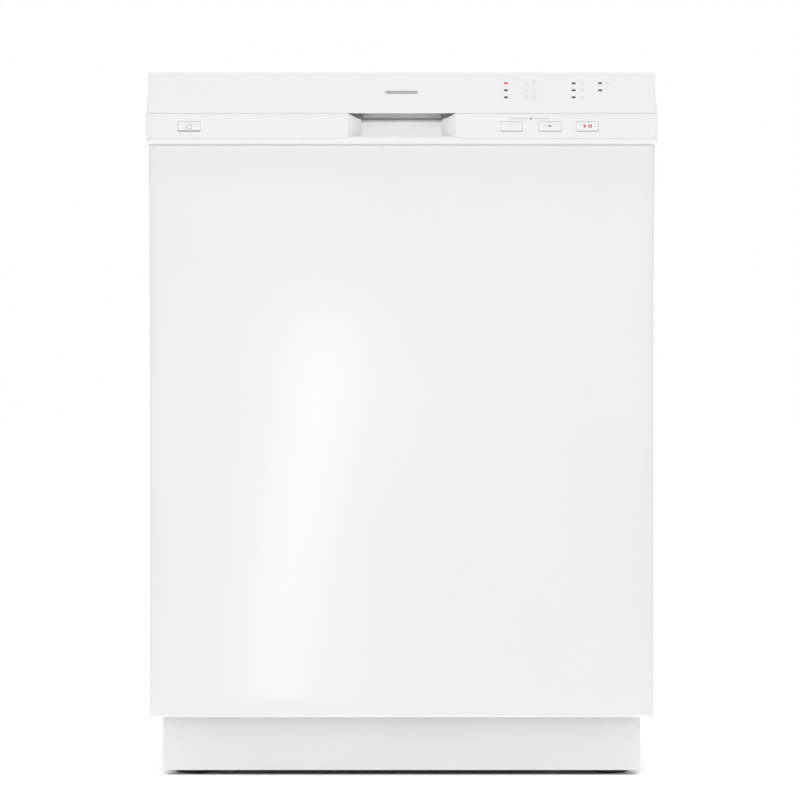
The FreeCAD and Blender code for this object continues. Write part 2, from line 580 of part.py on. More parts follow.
def board():
    card = padded("control_card", "XZ_Plane",
                  [("95", "752"), ("262", "752"), ("262", "824"), ("95", "824")], "268.4", "270")
    chips = [box("chip_%d" % k, (str(x), str(x + w)), ("-268.4", "-262"), (str(z), str(z + t)))
             for k, (x, z, w, t) in enumerate(((110, 790, 30, 20), (160, 760, 24, 24), (200, 795, 40, 14),
                                               (230, 757, 22, 18)))]
    power = box("power_card", ("-266", "-231"), ("-270", "-268.4"), ("752", "780"))
    keep(gather("control_board", [join("control_unit", [card] + chips), power]), "control_board")


def dispenser():
    block = box("dose_block", ("-80", "100"), ("-236", "-213.7"), ("415", "525"))
    cup = box("dose_cup", ("-70", "-10"), ("-232", "-213"), ("440", "500"))
    rim = turned("rinse_cap", "Y", ("82", "0", "470"),
                 [("0", "-214"), ("13", "-214"), ("12", "-212.1"), ("0", "-212.1")])
    keep(join("detergent_dispenser", [carve("dose_body", block, [cup]), rim]), "detergent_dispenser")
    lid = padded("detergent_lid", "XZ_Plane",
                 [("-74", "436"), ("-6", "436"), ("-6", "504"), ("-74", "504")], "211.9", "213.4")
    keep(soften(lid, "3", runs_along("y")), "detergent_lid")


# ---------------------------------------------------------------- racks

def value(alias):
    return SIZES[alias]


def wire_panel(spans):
    """Welded wires: each span is (start point, end point)."""
    wires = []
    for start, end in spans:
        a, b = Vector(*start), Vector(*end)
        wires.append(Part.makeCylinder(value("wire"), (b - a).Length, a, b - a))
    return wires[0].multiFuse(wires[1:])


WELD = 2.2  # how far two crossed wires' middle lines stand apart where they are welded


def steps(low, high, count):
    return [low + (high - low) * k / (count - 1) for k in range(count)]


def basket(side, near, far, base, rim, counts):
    """The flat wire panels of an open basket: a bottom and four upright sides that butt together."""
    r = value("wire")
    along_x, along_y, levels = counts
    inner, y0, y1 = side - r, near + r, far - r
    bottom = [((x, y0, base), (x, y1, base)) for x in steps(-inner + 8, inner - 8, along_x)]
    bottom += [((-inner, y, base + WELD), (inner, y, base + WELD)) for y in steps(y0 + 8, y1 - 8, along_y)]
    panels = [wire_panel(bottom)]
    heights = steps(base, rim, levels)
    for y, out in ((near, -WELD), (far, WELD)):
        grid = [((-side - r, y + out, z), (side + r, y + out, z)) for z in heights]
        grid += [((x, y, base - r), (x, y, rim)) for x in steps(-side, side, along_x)]
        panels.append(wire_panel(grid))
    for x, out in ((-side, -WELD), (side, WELD)):
        grid = [((x + out, y0, z), (x + out, y1, z)) for z in heights]
        grid += [((x, y, base - r), (x, y, rim)) for y in steps(y0 + r, y1 - r, along_y)]
        panels.append(wire_panel(grid))
    return panels


def comb(x, y0, y1, foot, height, count, lean=0.0):
    """A row of upright plate tines on one base wire."""
    grid = [((x, y0, foot), (x, y1, foot))]
    grid += [((x, y, foot), (x + lean, y, foot + height)) for y in steps(y0 + 4, y1 - 4, count)]
    return wire_panel(grid)


def wire_part(name, solids):
    item = doc.addObject("Part::Feature", name)
    item.Shape = Part.makeCompound(solids)
    keep(item, name)


def lower_rack():
    side, near, far = value("lower_side"), value("lower_near"), value("lower_far")
    base, rim = value("lower_base"), value("lower_rim")
    panels = basket(side, near, far, base, rim, (13, 10, 4))
    wire_part("lower_rack", panels)
    foot = base + WELD + 2 * value("wire")
    wire_part("lower_rack_tines", [comb(x, near + 24, far - 24, foot, 95, 11) for x in (-205, -130, -55, 20)])
    grip_bar = padded("rack_handle_bar", "YZ_Plane",
                      [("-187", "318"), ("-179", "314"), ("-176", "318"), ("-176", "336"), ("-180", "340"),
                       ("-187", "336")], "-90", "90")
    soften(grip_bar, "2", runs_along("x"))

    plates = [box("cutlery_floor", ("95", "248"), ("-150", "60"), ("196", "199"))]
    for k, x in enumerate((95, 245.5)):
        plates.append(box("cutlery_side_%d" % k, (str(x), str(x + 2.5)), ("-150", "60"), ("199", "316")))
    for k in range(4):
        y = -150 + 69.2 * k
        plates.append(box("cutlery_wall_%d" % k, ("97.5", "245.5"), ("%.1f" % y, "%.1f" % (y + 2.4)),
                          ("199", "316")))
    keep(gather("cutlery_basket", plates), "cutlery_basket")

    for end, y in (("front", -118.0), ("rear", 170.0)):
        pair = []
        for tag, sign in SIDES:
            x = "wheel_side" if sign > 0 else "-wheel_side-8"
            pair.append(turned("wheel_%s_%s" % (end, tag), "X", (x, str(y), "tub_floor_top+wheel_radius+0.3"),
                               [("3.1", "0"), ("wheel_radius-1.5", "0"), ("wheel_radius", "1.5"),
                                ("wheel_radius", "6.5"), ("wheel_radius-1.5", "8"), ("3.1", "8")]))
        keep(gather("lower_wheels_" + end, pair), "lower_wheels_" + end)
    axles = []
    for end, y in (("front", -118.0), ("rear", 170.0)):
        for tag, sign in SIDES:
            hub = box("wheel_post_%s_%s" % (end, tag), mirrored(("257", "wheel_side-0.7"), sign),
                      ("%.1f" % (y - 7), "%.1f" % (y + 7)), ("161", "188.4"))
            start = "-wheel_side-9" if sign < 0 else "wheel_side-2"
            stub = rod("wheel_stub_%s_%s" % (end, tag), "X",
                       (start, str(y), "tub_floor_top+wheel_radius+0.3"),
                       "3", "11")
            axles.append(join("wheel_mount_%s_%s" % (end, tag), [hub, stub]))
    keep(gather("lower_rack_fittings", [grip_bar] + axles), "lower_rack_fittings")


def upper_rack():
    side, near, far = value("upper_side"), value("upper_near"), value("upper_far")
    base, rim = value("upper_base"), value("upper_rim")
    foot = base + WELD + 2 * value("wire")
    panels = basket(side, near, far, base, rim, (12, 10, 3))
    panels += [comb(x, near + 24, far - 24, foot, 60, 11) for x in (-125, 0, 125)]
    wire_part("upper_rack", panels)
    r = value("wire")
    x0, x1, z = -245.0, -140.0, 596.0
    spans = [((x, -150, z), (x, 190, z)) for x in steps(x0, x1, 4)]
    spans += [((x0, y, z + WELD), (x1, y, z + WELD)) for y in steps(-148, 188, 9)]
    shelf = wire_panel(spans)
    wire_part("cup_shelf", [shelf])


for build in (tub, gasket, side_panels, base_tray, feet, rear_cover, top_mat, crossbar, plinth, hinge_parts,
              hinge_springs, wet_parts, spray_parts, service_parts, rail_guides, door_shell, console, buttons,
              grip, board, dispenser, lower_rack, upper_rack):
    build()
doc.removeObject(probe.Name)
doc.recompute()

os.makedirs("parts", exist_ok=True)
problems = [o.Name for o in doc.Objects if "Invalid" in o.State or "Error" in o.State]
for part in PARTS:
    if part.Shape.isNull() or not part.Shape.isValid():
        problems.append(part.Label)
if problems:
    raise RuntimeError("not built: " + ", ".join(problems))
for part in PARTS:
    part.Shape.exportStep("parts/%s.step" % part.Label)
    print(part.Label, len(part.Shape.Solids), round(part.Shape.Volume))
print(len(PARTS), "parts")
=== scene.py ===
import json
import math

import bmesh
import bpy
from mathutils import Matrix, Quaternion, Vector


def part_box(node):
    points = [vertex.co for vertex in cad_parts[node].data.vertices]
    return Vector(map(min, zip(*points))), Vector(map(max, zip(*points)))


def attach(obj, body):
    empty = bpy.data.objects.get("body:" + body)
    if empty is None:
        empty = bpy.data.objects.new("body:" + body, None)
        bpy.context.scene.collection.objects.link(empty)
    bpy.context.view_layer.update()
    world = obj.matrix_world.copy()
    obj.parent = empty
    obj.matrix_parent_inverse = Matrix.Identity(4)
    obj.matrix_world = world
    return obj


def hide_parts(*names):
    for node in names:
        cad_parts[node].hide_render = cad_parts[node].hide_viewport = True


# The looks of a white built-under dishwasher. Lengths are in millimetres until a piece is made:
# every mesh is then scaled to metres. The floor, the lamps and the camera are in metres. The front
# faces -Y and +Z is up.

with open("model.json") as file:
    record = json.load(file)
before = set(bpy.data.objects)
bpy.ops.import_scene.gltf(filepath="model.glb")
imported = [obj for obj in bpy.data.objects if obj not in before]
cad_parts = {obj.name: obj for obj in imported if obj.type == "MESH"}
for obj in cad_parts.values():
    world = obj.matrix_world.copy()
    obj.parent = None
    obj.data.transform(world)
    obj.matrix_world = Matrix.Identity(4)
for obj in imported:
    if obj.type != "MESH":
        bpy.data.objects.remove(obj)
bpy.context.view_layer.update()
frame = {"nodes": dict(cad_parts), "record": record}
MM = 0.001
NODE_SLOT = {item["node"]: item["material_slot"] for item in frame["record"]["subparts"]}
NODE_BODY = {node: body for body, nodes in frame["record"]["behaviour"]["bodies"].items() for node in nodes}


def span(node):
    """Lowest and highest corner of a CAD node, in millimetres."""
    low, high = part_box(node)
    return low / MM, high / MM


# --------------------- materials

MATERIALS = {}


def feed(node, *fed, **named):
    """Gives a shader node's inputs, by place or by name, their values or the outputs that feed them."""
    for socket, value in [*enumerate(fed), *((name.replace("_", " "), named[name]) for name in named)]:
        if isinstance(value, bpy.types.NodeSocket):
            node.id_data.links.new(value, node.inputs[socket])
        else:
            node.inputs[socket].default_value = value
    return node


def add(tree, kind, *fed, **named):
    """Adds a shader node; names in small letters are its settings, the others its inputs."""
    node = tree.nodes.new("ShaderNode" + kind)
    for setting in [name for name in named if name.islower()]:
        setattr(node, setting, named.pop(setting))
    return feed(node, *fed, **named)


def finish(name, colour, rough, mottle, gloss, *grains, detail=3.0, stretch=(1, 1, 1), tint=None, **sockets):
    """One Principled material, filed under its name.

    mottle is (size, amount) of slow changes of tone, gloss the same for roughness, and every grain is the
    (size, depth, strength) of a fine relief. Sizes and depths are in millimetres.
    """
    MATERIALS[name] = material = bpy.data.materials.new(name)
    material.use_nodes = True
    tree = material.node_tree
    bsdf = feed(tree.nodes["Principled BSDF"], Roughness=rough, Base_Color=(*colour, 1.0), **sockets)
    place = add(tree, "TexCoord").outputs["Object"]

    def noise(size, detail=3.0):
        """Noise whose features are about as large as the size, stretched along an axis."""
        mapping = add(tree, "Mapping", place, Scale=[1.0 / part for part in stretch])
        texture = add(tree, "TexNoise", mapping.outputs["Vector"], Scale=1.0 / (size * MM), Detail=detail,
                      Roughness=0.55)
        return texture.outputs["Fac"]

    def ramp(size, low, high):
        """Noise, which is centred on a half, taken to low..high."""
        return add(tree, "MapRange", noise(size, detail), 0.3, 0.7, low, high,
                   interpolation_type="SMOOTHSTEP").outputs["Result"]

    dark = tint or [c * (1.0 - mottle[1]) for c in colour]
    tone = add(tree, "Mix", data_type="RGBA", Factor=ramp(mottle[0], 0.0, 1.0), A=(*colour, 1.0),
               B=(*dark, 1.0))
    feed(bsdf, Base_Color=tone.outputs["Result"])
    if gloss:
        feed(bsdf, Roughness=ramp(gloss[0], rough - gloss[1], rough + gloss[1]))
    relief = {}
    for size, depth, strength in grains:
        bump = add(tree, "Bump", Height=noise(size), Distance=depth * MM, Strength=strength, **relief)
        relief = {"Normal": bump.outputs["Normal"]}
    feed(bsdf, **relief)


CONSOLE_WHITE = (0.82, 0.82, 0.818)
finish("white_enamel", (0.785, 0.783, 0.782), 0.36, (160, 0.012), (180, 0.02), (3.2, 0.008, 0.4),
       (0.7, 0.003, 0.3), detail=1.0, Coat_Weight=0.5, Coat_Roughness=0.17)
finish("white_plinth", (0.86, 0.86, 0.858), 0.42, (60, 0.02), (80, 0.05), (2.5, 0.012, 0.5),
       (0.6, 0.004, 0.4))
finish("white_console", CONSOLE_WHITE, 0.36, (70, 0.012), (60, 0.04), (0.45, 0.006, 0.5), (6.0, 0.006, 0.3),
       Specular_IOR_Level=0.45)
finish("white_keys", CONSOLE_WHITE, 0.32, (12, 0.012), (10, 0.03), (0.35, 0.004, 0.5))
# The hand grip's scoop is a brighter white with a faint glow: painted light that lifts the shade inside the
# recess under the fascia.
finish("grip_white", (0.9, 0.9, 0.898), 0.4, (40, 0.012), (30, 0.04), (0.45, 0.006, 0.5),
       Emission_Color=(1.0, 1.0, 1.0, 1.0), Emission_Strength=0.2)
# A darker grey for the latch lever and the walls of the finger hollow, parts of the white console: painted
# shade for the dark slot behind the seam.
finish("lever_grey", (0.6, 0.6, 0.605), 0.5, (20, 0.05), (12, 0.05), (0.5, 0.008, 0.5))
finish("stainless", (0.66, 0.665, 0.67), 0.3, (1.2, 0.08), (2.0, 0.04), (0.8, 0.004, 0.25),
       stretch=(60, 60, 1), Metallic=1.0)
finish("steel_mesh", (0.6, 0.61, 0.62), 0.35, (1.2, 0.35), (4, 0.08), (1.0, 0.05, 0.7), Metallic=1.0)
finish("galvanised", (0.62, 0.64, 0.65), 0.42, (7, 0.11), (6, 0.07), (1.6, 0.01, 0.4), detail=1.0,
       Metallic=0.9)
finish("spring_steel", (0.3, 0.3, 0.31), 0.35, (2, 0.3), (3, 0.1), (0.6, 0.01, 0.5), Metallic=0.95)
finish("window_dark", (0.06, 0.06, 0.065), 0.2, (1.5, 0.3), None, (0.4, 0.003, 0.4))
finish("window_red", (0.7, 0.03, 0.1), 0.25, (1.2, 0.35), None, (0.4, 0.003, 0.4),
       Emission_Color=(0.8, 0.02, 0.1, 1.0), Emission_Strength=0.25)
finish("gasket_rubber", (0.12, 0.12, 0.125), 0.62, (14, 0.25), (9, 0.08), (0.8, 0.02, 0.6))
finish("bitumen", (0.018, 0.018, 0.019), 0.78, (8, 0.5), (12, 0.1), (1.8, 0.18, 0.8),
       tint=(0.045, 0.044, 0.042))
finish("base_plastic", (0.03, 0.03, 0.033), 0.55, (20, 0.3), (18, 0.08), (0.6, 0.02, 0.6))
finish("foot_plastic", (0.022, 0.022, 0.024), 0.5, (9, 0.4), (8, 0.1), (0.5, 0.015, 0.6))
finish("grey_plastic", (0.36, 0.38, 0.4), 0.42, (25, 0.08), (15, 0.06), (0.5, 0.01, 0.5))
finish("natural_plastic", (0.72, 0.715, 0.68), 0.4, (25, 0.06), (15, 0.05), (0.6, 0.01, 0.5),
       Subsurface_Weight=0.08)
finish("dispenser_plastic", (0.52, 0.53, 0.55), 0.38, (25, 0.06), (15, 0.05), (0.5, 0.01, 0.5))
finish("latch_plastic", (0.05, 0.05, 0.053), 0.45, (9, 0.25), (8, 0.08), (0.5, 0.01, 0.5))
finish("service_plastic", (0.035, 0.035, 0.038), 0.48, (9, 0.3), (8, 0.08), (0.5, 0.015, 0.5))
finish("motor_body", (0.08, 0.08, 0.09), 0.5, (14, 0.3), (9, 0.08), (0.7, 0.02, 0.5))
finish("circuit_board", (0.02, 0.13, 0.05), 0.4, (2.5, 0.4), (4, 0.1), (1.2, 0.02, 0.5))
finish("coated_wire", (0.5, 0.52, 0.55), 0.33, (18, 0.08), (6, 0.06), (1.5, 0.02, 0.4))
for name, colour, rough, uneven in (("print_grey", (0.42, 0.42, 0.425), 0.5, 0.1),
                                    ("print_faint", (0.66, 0.66, 0.66), 0.5, 0.05),
                                    ("print_dark", (0.07, 0.07, 0.08), 0.45, 0.2),
                                    ("print_red", (0.66, 0.02, 0.09), 0.45, 0.15)):
    finish(name, colour, rough, (1.0, uneven), None, (0.3, 0.002, 0.3))


# --------------------- making pieces

def piece(name, mesh, body, slot, *nodes, look=None, sharp=32):
    """Turns a bmesh in millimetres into a riding piece that may stand for CAD nodes."""
    bmesh.ops.remove_doubles(mesh, verts=mesh.verts, dist=0.002)
    bmesh.ops.recalc_face_normals(mesh, faces=mesh.faces)
    mesh.transform(Matrix.Scale(MM, 4))
    data = bpy.data.meshes.new(name)
    mesh.to_mesh(data)
    mesh.free()
    data.materials.append(MATERIALS[look or slot])
    data.shade_smooth()
    data.set_sharp_from_angle(angle=math.radians(sharp))
    item = bpy.data.objects.new(name, data)
    bpy.context.scene.collection.objects.link(item)
    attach(item, body)
    if nodes:
        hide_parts(*nodes)


def block(mesh, low, high):
    """Adds a box."""
    for vert in bmesh.ops.create_cube(mesh, size=1.0)["verts"]:
        for k in range(3):
            vert.co[k] = (low[k] + high[k]) / 2 + vert.co[k] * (high[k] - low[k])


def rounded_block(mesh, low, high, radius, steps=3):
    """Adds a box with every edge rounded."""
    part = bmesh.new()
    block(part, low, high)
    bmesh.ops.bevel(part, geom=part.edges[:], offset=radius, segments=steps, profile=0.5, affect="EDGES")
    absorb(mesh, part)


def pair_of_blocks(mesh, near, far, ys, zs, radius):
    """Two rounded boxes, left and right, that reach from near to far of the middle."""
    for sign in (-1, 1):
        left, right = sorted((sign * near, sign * far))
        rounded_block(mesh, (left, ys[0], zs[0]), (right, ys[1], zs[1]), radius)


def absorb(mesh, part):
    """Moves one bmesh's geometry into another."""
    data = bpy.data.meshes.new("scratch")
    part.to_mesh(data)
    part.free()
    mesh.from_mesh(data)
    bpy.data.meshes.remove(data)


ALONG = {"x": lambda a, b, c: (c, a, b), "y": lambda a, b, c: (a, c, b), "z": lambda a, b, c: (a, b, c)}


def skin_rings(mesh, rings, loop=False, caps=True):
    """Joins rings of equally many vertices one after another, and closes the first and the last."""
    if caps and not loop:
        mesh.faces.new(rings[0])
        mesh.faces.new(rings[-1])
    for first, second in list(zip(rings, rings[1:])) + ([(rings[-1], rings[0])] if loop else []):
        for k in range(len(first)):
            after = (k + 1) % len(first)
            mesh.faces.new((first[k], first[after], second[after], second[k]))


def prism(mesh, outline, low, high, axis="x", radius=0.0):
    """Adds a polygon pushed along an axis; outline points are the two other axes in order."""
    part = bmesh.new()
    rings = [[part.verts.new(ALONG[axis](a, b, c)) for a, b in outline] for c in (low, high)]
    skin_rings(part, rings)
    if radius:
        bmesh.ops.recalc_face_normals(part, faces=part.faces)
        sharp = [e for e in part.edges if e.calc_face_angle(0) > 0.35]
        bmesh.ops.bevel(part, geom=sharp, offset=radius, segments=2, profile=0.5, affect="EDGES",
                        clamp_overlap=True)
    absorb(mesh, part)


def lathe(mesh, profile, centre, axis, steps, wobble=None):
    """Adds a profile of (radius, distance along the axis) spun about the axis through centre."""
    rings = []
    for radius, distance in profile:
        ring = []
        for k in range(steps if radius > 0 else 1):
            angle = 2 * math.pi * k / steps
            reach = radius * (wobble(angle, distance) if wobble else 1.0)
            point = ALONG[axis](reach * math.cos(angle), reach * math.sin(angle), distance)
            ring.append(mesh.verts.new(Vector(point) + Vector(centre)))
        rings.append(ring)
    for first, second in zip(rings, rings[1:]):
        for k in range(steps):
            corners = [first[k % len(first)], first[(k + 1) % len(first)],
                       second[(k + 1) % len(second)], second[k % len(second)]]
            unique = list(dict.fromkeys(corners))
            if len(unique) > 2:
                mesh.faces.new(unique)


def wire(mesh, points, radius, sides=8, closed=False):
    """Adds a round wire through the points, with flat ends."""
    points = [Vector(p) for p in points]
    count = len(points)
    side_axis = None
    rings = []
    for k, point in enumerate(points):
        before = points[k - 1] if k or closed else point
        after = points[(k + 1) % count] if k + 1 < count or closed else point
        along = (after - before).normalized()
        if side_axis is None:
            side_axis = along.orthogonal().normalized()
        side_axis = (side_axis - along * side_axis.dot(along)).normalized()
        other = along.cross(side_axis)
        rings.append([mesh.verts.new(point + radius * (math.cos(a) * side_axis + math.sin(a) * other))
                      for a in (2 * math.pi * j / sides for j in range(sides))])
    if not closed:
        for place, end, inner in ((0, points[0], points[1]), (len(rings) + 1, points[-1], points[-2])):
            out = (end - inner).normalized() * radius * 0.45
            ring = rings[0 if place == 0 else -1]
            rings.insert(place, [mesh.verts.new(end + out + (v.co - end) * 0.55) for v in ring])
    skin_rings(mesh, rings, closed)


def bend(corners, radius, steps=5, closed=False):
    """The points of a path whose corners are rounded."""
    corners = [Vector(c) for c in corners]
    count, path = len(corners), []
    for k, corner in enumerate(corners):
        if not closed and k in (0, count - 1):
            path.append(corner)
            continue
        before, after = corners[k - 1] - corner, corners[(k + 1) % count] - corner
        reach = min(radius, before.length * 0.49, after.length * 0.49)
        start, end = corner + before.normalized() * reach, corner + after.normalized() * reach
        for j in range(steps + 1):
            share = j / steps
            path.append((1 - share) ** 2 * start + 2 * share * (1 - share) * corner + share ** 2 * end)
    return path


def plate(mesh, us, vs, place, near, far, hole=None, closed=False):
    """Two skins on one grid, place(u, v, near) and place(u, v, far), joined along every border and hole."""
    skins = [[[mesh.verts.new(place(u, v, skin)) for v in vs] for u in us] for skin in (near, far)]
    wide, tall = len(us) - 1, len(vs) - 1

    def solid(i, j):
        if closed:
            i %= wide
        if not (0 <= i < wide and 0 <= j < tall):
            return False
        return not (hole and hole((us[i] + us[i + 1]) / 2, (vs[j] + vs[j + 1]) / 2))

    for i in range(wide):
        for j in range(tall):
            if not solid(i, j):
                continue
            for skin in skins:
                mesh.faces.new((skin[i][j], skin[i + 1][j], skin[i + 1][j + 1], skin[i][j + 1]))
            for di, dj, a, b in ((-1, 0, (i, j), (i, j + 1)), (1, 0, (i + 1, j), (i + 1, j + 1)),
                                 (0, -1, (i, j), (i + 1, j)), (0, 1, (i, j + 1), (i + 1, j + 1))):
                if not solid(i + di, j + dj):
                    mesh.faces.new((skins[0][a[0]][a[1]], skins[0][b[0]][b[1]],
                                    skins[1][b[0]][b[1]], skins[1][a[0]][a[1]]))
    bmesh.ops.delete(mesh, geom=[v for v in mesh.verts if not v.link_faces], context="VERTS")


def middle_of(low, high, along="z"):
    """The middle of a box, at zero along one axis."""
    middle = (low + high) / 2
    setattr(middle, along, 0.0)
    return middle


def clamped(value, length):
    """The value as a share of a length, held between none and all."""
    return min(1.0, max(0.0, value / length))


def bead(distance, half, depth):
    """The depth of a pressed bead at a distance from its middle line, with smooth flanks."""
    share = min(1.0, abs(distance) / half)
    return depth * (1 - share * share * (3 - 2 * share))


def stations(low, high, step, extra=(), ends=()):
    """Grid lines about one step apart, plus the extra ones and some close to both ends."""
    count = max(2, int((high - low) / step) + 1)
    extra = [*extra, *(low + e for e in ends), *(high - e for e in ends)]
    lines = steps_between(low, high, count) + [e for e in extra if low < e < high]
    return sorted({round(line, 3) for line in lines})


def around(half, *centres):
    """Grid lines that catch beads of a half width at some centres."""
    return [centre + half * k / 4 for centre in centres for k in range(-4, 5)]


def threaded(pitch, depth):
    """A lathe wobble that cuts a screw thread."""
    return lambda angle, along: 1.0 - depth * abs(((along / pitch + angle / (2 * math.pi)) % 1.0) * 2 - 1)


def screw_heads(mesh, places, axis, out, radius=4.0):
    """Pan heads with a cross slot; places are the middles of their seats."""
    for centre in places:
        profile = [(radius, 0), (radius, 0.5 * out), (radius * 0.75, 1.4 * out), (radius * 0.3, 1.8 * out),
                   (radius * 0.3, 0.9 * out), (0, 0.9 * out)]
        lathe(mesh, profile, centre, axis, 20)


def steps_between(low, high, count):
    return [low + (high - low) * k / (count - 1) for k in range(count)]


def edge_stations(low, high, radius, middle, rounds=5):
    """Grid lines from low to high, closer together near both ends so that the ends can be rounded."""
    falls = [radius * (1 - math.cos(math.pi / 2 * k / rounds)) for k in range(rounds + 1)]
    inside = [m for m in middle if low + radius + 0.01 < m < high - radius - 0.01]
    return sorted({round(v, 4) for v in [low + f for f in falls] + [high - f for f in falls] + inside})


def drop(distance, radius):
    """How far a rounded edge falls back at a distance from its border."""
    if distance >= radius:
        return 0.0
    return radius - math.sqrt(max(0.0, radius ** 2 - (radius - distance) ** 2))


def faced_panel(mesh, xs, zs, place, hole, back, hole_depth, lip=None):
    """A front face on a grid, with the cells inside a hole left out and every border folded back.

    place(x, z) gives a grid point's corner, hole(x, z) is true inside an opening, back(point) gives where
    an outer border folds back to, and lip(point) can give a shorter fold for part of the border.
    """
    grid = [[mesh.verts.new(place(x, z)) for z in zs] for x in xs]
    for i in range(len(xs) - 1):
        for j in range(len(zs) - 1):
            if not hole((xs[i] + xs[i + 1]) / 2, (zs[j] + zs[j + 1]) / 2):
                mesh.faces.new((grid[i][j], grid[i + 1][j], grid[i + 1][j + 1], grid[i][j + 1]))
    outer = set(grid[0]) | set(grid[-1]) | {column[0] for column in grid} | {column[-1] for column in grid}
    border = [e for e in mesh.edges if e.is_boundary]
    outside = [e for e in border if e.verts[0] in outer and e.verts[1] in outer]
    inside = [e for e in border if e not in outside]
    for edges, fold in ((outside, back), (inside, lambda p: p.y + hole_depth)):
        made = bmesh.ops.extrude_edge_only(mesh, edges=edges)["geom"]
        for vert in (g for g in made if isinstance(g, bmesh.types.BMVert)):
            vert.co.y = (lip and lip(vert.co)) or fold(vert.co)
    bmesh.ops.delete(mesh, geom=[v for v in mesh.verts if not v.link_faces], context="VERTS")


# --------------------- carried-over CAD shapes

def soften(node, width, least_edge, draw=None):
    """Stands for a CAD node with the same shape, its edges rounded like those of a moulded or folded part.

    Only edges longer than least_edge are rounded. draw(mesh, low, high) adds small features.
    """
    mesh = bmesh.new()
    mesh.from_mesh(frame["nodes"][node].data)
    mesh.transform(Matrix.Scale(1 / MM, 4))
    bmesh.ops.remove_doubles(mesh, verts=mesh.verts, dist=0.01)
    bmesh.ops.dissolve_limit(mesh, angle_limit=math.radians(1.0), verts=mesh.verts, edges=mesh.edges)
    sharp = [e for e in mesh.edges if e.is_manifold and e.calc_face_angle(0) > 0.5
             and e.calc_length() > least_edge]
    bmesh.ops.bevel(mesh, geom=sharp, offset=width, segments=2, profile=0.6, affect="EDGES",
                    clamp_overlap=True)
    if draw:
        draw(mesh, *span(node))
    stand_in(node, mesh)


def softened(width, least_edge):
    """Marks the function that adds small features to the softened CAD node of its name."""
    return lambda draw: soften(draw.__name__, width, least_edge, draw)


def stand_in(node, mesh, suffix="_shape", sharp=32, look=None):
    """The mesh takes the CAD node's place, body and material, unless it has a look of its own."""
    piece(node + suffix, mesh, NODE_BODY[node], NODE_SLOT[node], node, look=look, sharp=sharp)


def shape(*nodes, **style):
    """Marks the function that draws a stand-in for each of the CAD nodes, or for the one of its own name.

    It draws into an empty mesh and is given the node's two corners.
    """
    def run(draw):
        for node in nodes or (draw.__name__,):
            mesh = bmesh.new()
            draw(mesh, *span(node))
            stand_in(node, mesh, **style)
        return draw
    return run


# --------------------- console

PANEL_LOW, PANEL_HIGH = span("outer_door_panel")
FASCIA_LOW, FASCIA_HIGH = span("upper_fascia")
KEYS = ("button_power", "button_program", "button_option", "button_start")
FACE = FASCIA_LOW.y + 0.2        # the printed marks stand between the CAD face and this one
PRINT = FACE - 0.12
HALF = FASCIA_HIGH.x
GRIP_EDGE = span("handle_pocket")[1].x
TILT = 1.4 / 47.0
TAPER = 2.4
LENS_WIDE, LENS_TALL = 4.5, 2.2
LIP_HEIGHT = 752.6
LIP_RISE = 2.2
KEY_WIDE, KEY_TALL, KEY_CORNER = 26.6, 11.6, 1.6
STEADY = 250.0        # only the parts of the console further out than this are drawn in at its ends


def key_middle(name):
    low, high = span(name)
    return (low.x + high.x) / 2, (low.z + high.z) / 2


def lens_places():
    """Across and up middle of every indicator: three columns, the last with two."""
    low, high = span("indicator_windows")
    lit_low, lit_high = span("lit_indicator")
    left, top = (lit_low.x + lit_high.x) / 2, (lit_low.z + lit_high.z) / 2
    bottom, right = low.z + LENS_TALL / 2, high.x - LENS_WIDE / 2
    middle = right - 30.9
    rows = [top, (top + bottom) / 2, bottom]
    return [(x, z) for x, count in ((left, 3), (middle, 3), (right, 2)) for z in rows[:count]]


def fascia_face(z):
    """How far forward the tilted upper fascia stands at a height."""
    return FACE + TILT * (z - FASCIA_LOW.z)


def stretched(x, narrow):
    """A place across the console, moved in so that the outer end comes in by narrow."""
    past = abs(x) - STEADY
    return x if past <= 0 else math.copysign(STEADY + past * (HALF - narrow - STEADY) / (HALF - STEADY), x)


@shape(suffix="_front")
def upper_fascia(mesh, low, high):
    """The tilted strip above the seam, a little narrower at the top, with the indicator holes."""
    lenses = lens_places()
    cuts_x = [x + s * LENS_WIDE / 2 for x, z in lenses for s in (-1, 1)] + [-GRIP_EDGE, GRIP_EDGE]
    cuts_z = [z + s * LENS_TALL / 2 for x, z in lenses for s in (-1, 1)]
    low, high = low.z, high.z

    def place(x, z):
        share = (z - low) / (high - low)
        narrow = TAPER * clamped(share, 0.55) + drop(high - z, 2.2) * 0.6
        x = stretched(x, narrow)
        edge = HALF - narrow - abs(x)
        return x, fascia_face(z) + max(drop(high - z, 2.6), drop(edge, 2.2), drop(z - low, 0.7)), z

    def hole(x, z):
        return any(abs(x - a) < LENS_WIDE / 2 and abs(z - b) < LENS_TALL / 2 for a, b in lenses)

    def lip(point):
        return FACE + 4.0 if abs(point.x) < GRIP_EDGE and point.z < low + 0.5 else None

    xs = edge_stations(-HALF, HALF, 2.2, cuts_x + steps_between(-280, 280, 29))
    zs = sorted(set(edge_stations(low, high, 2.6, cuts_z) + [low + 0.1, low + 0.3, low + 0.7, low + 26]))
    faced_panel(mesh, xs, zs, place, hole, lambda p: FASCIA_HIGH.y, 3.0, lip)
    block(mesh, (-GRIP_EDGE, FACE + 3.6, low + 0.2), (GRIP_EDGE, FACE + 4.6, low + 18))


@shape("lit_indicator", "indicator_windows")
def indicator(mesh, low, high):
    """The lit lens stands at the first place and the dark ones at all the others."""
    lit = high.x - low.x < 2 * LENS_WIDE
    for x, z in (lens_places()[:1] if lit else lens_places()[1:]):
        front = fascia_face(z) + 0.15
        rounded_block(mesh, (x - LENS_WIDE / 2 + 0.1, front, z - LENS_TALL / 2 + 0.1),
                      (x + LENS_WIDE / 2 - 0.1, front + 2.5, z + LENS_TALL / 2 - 0.1), 0.35)


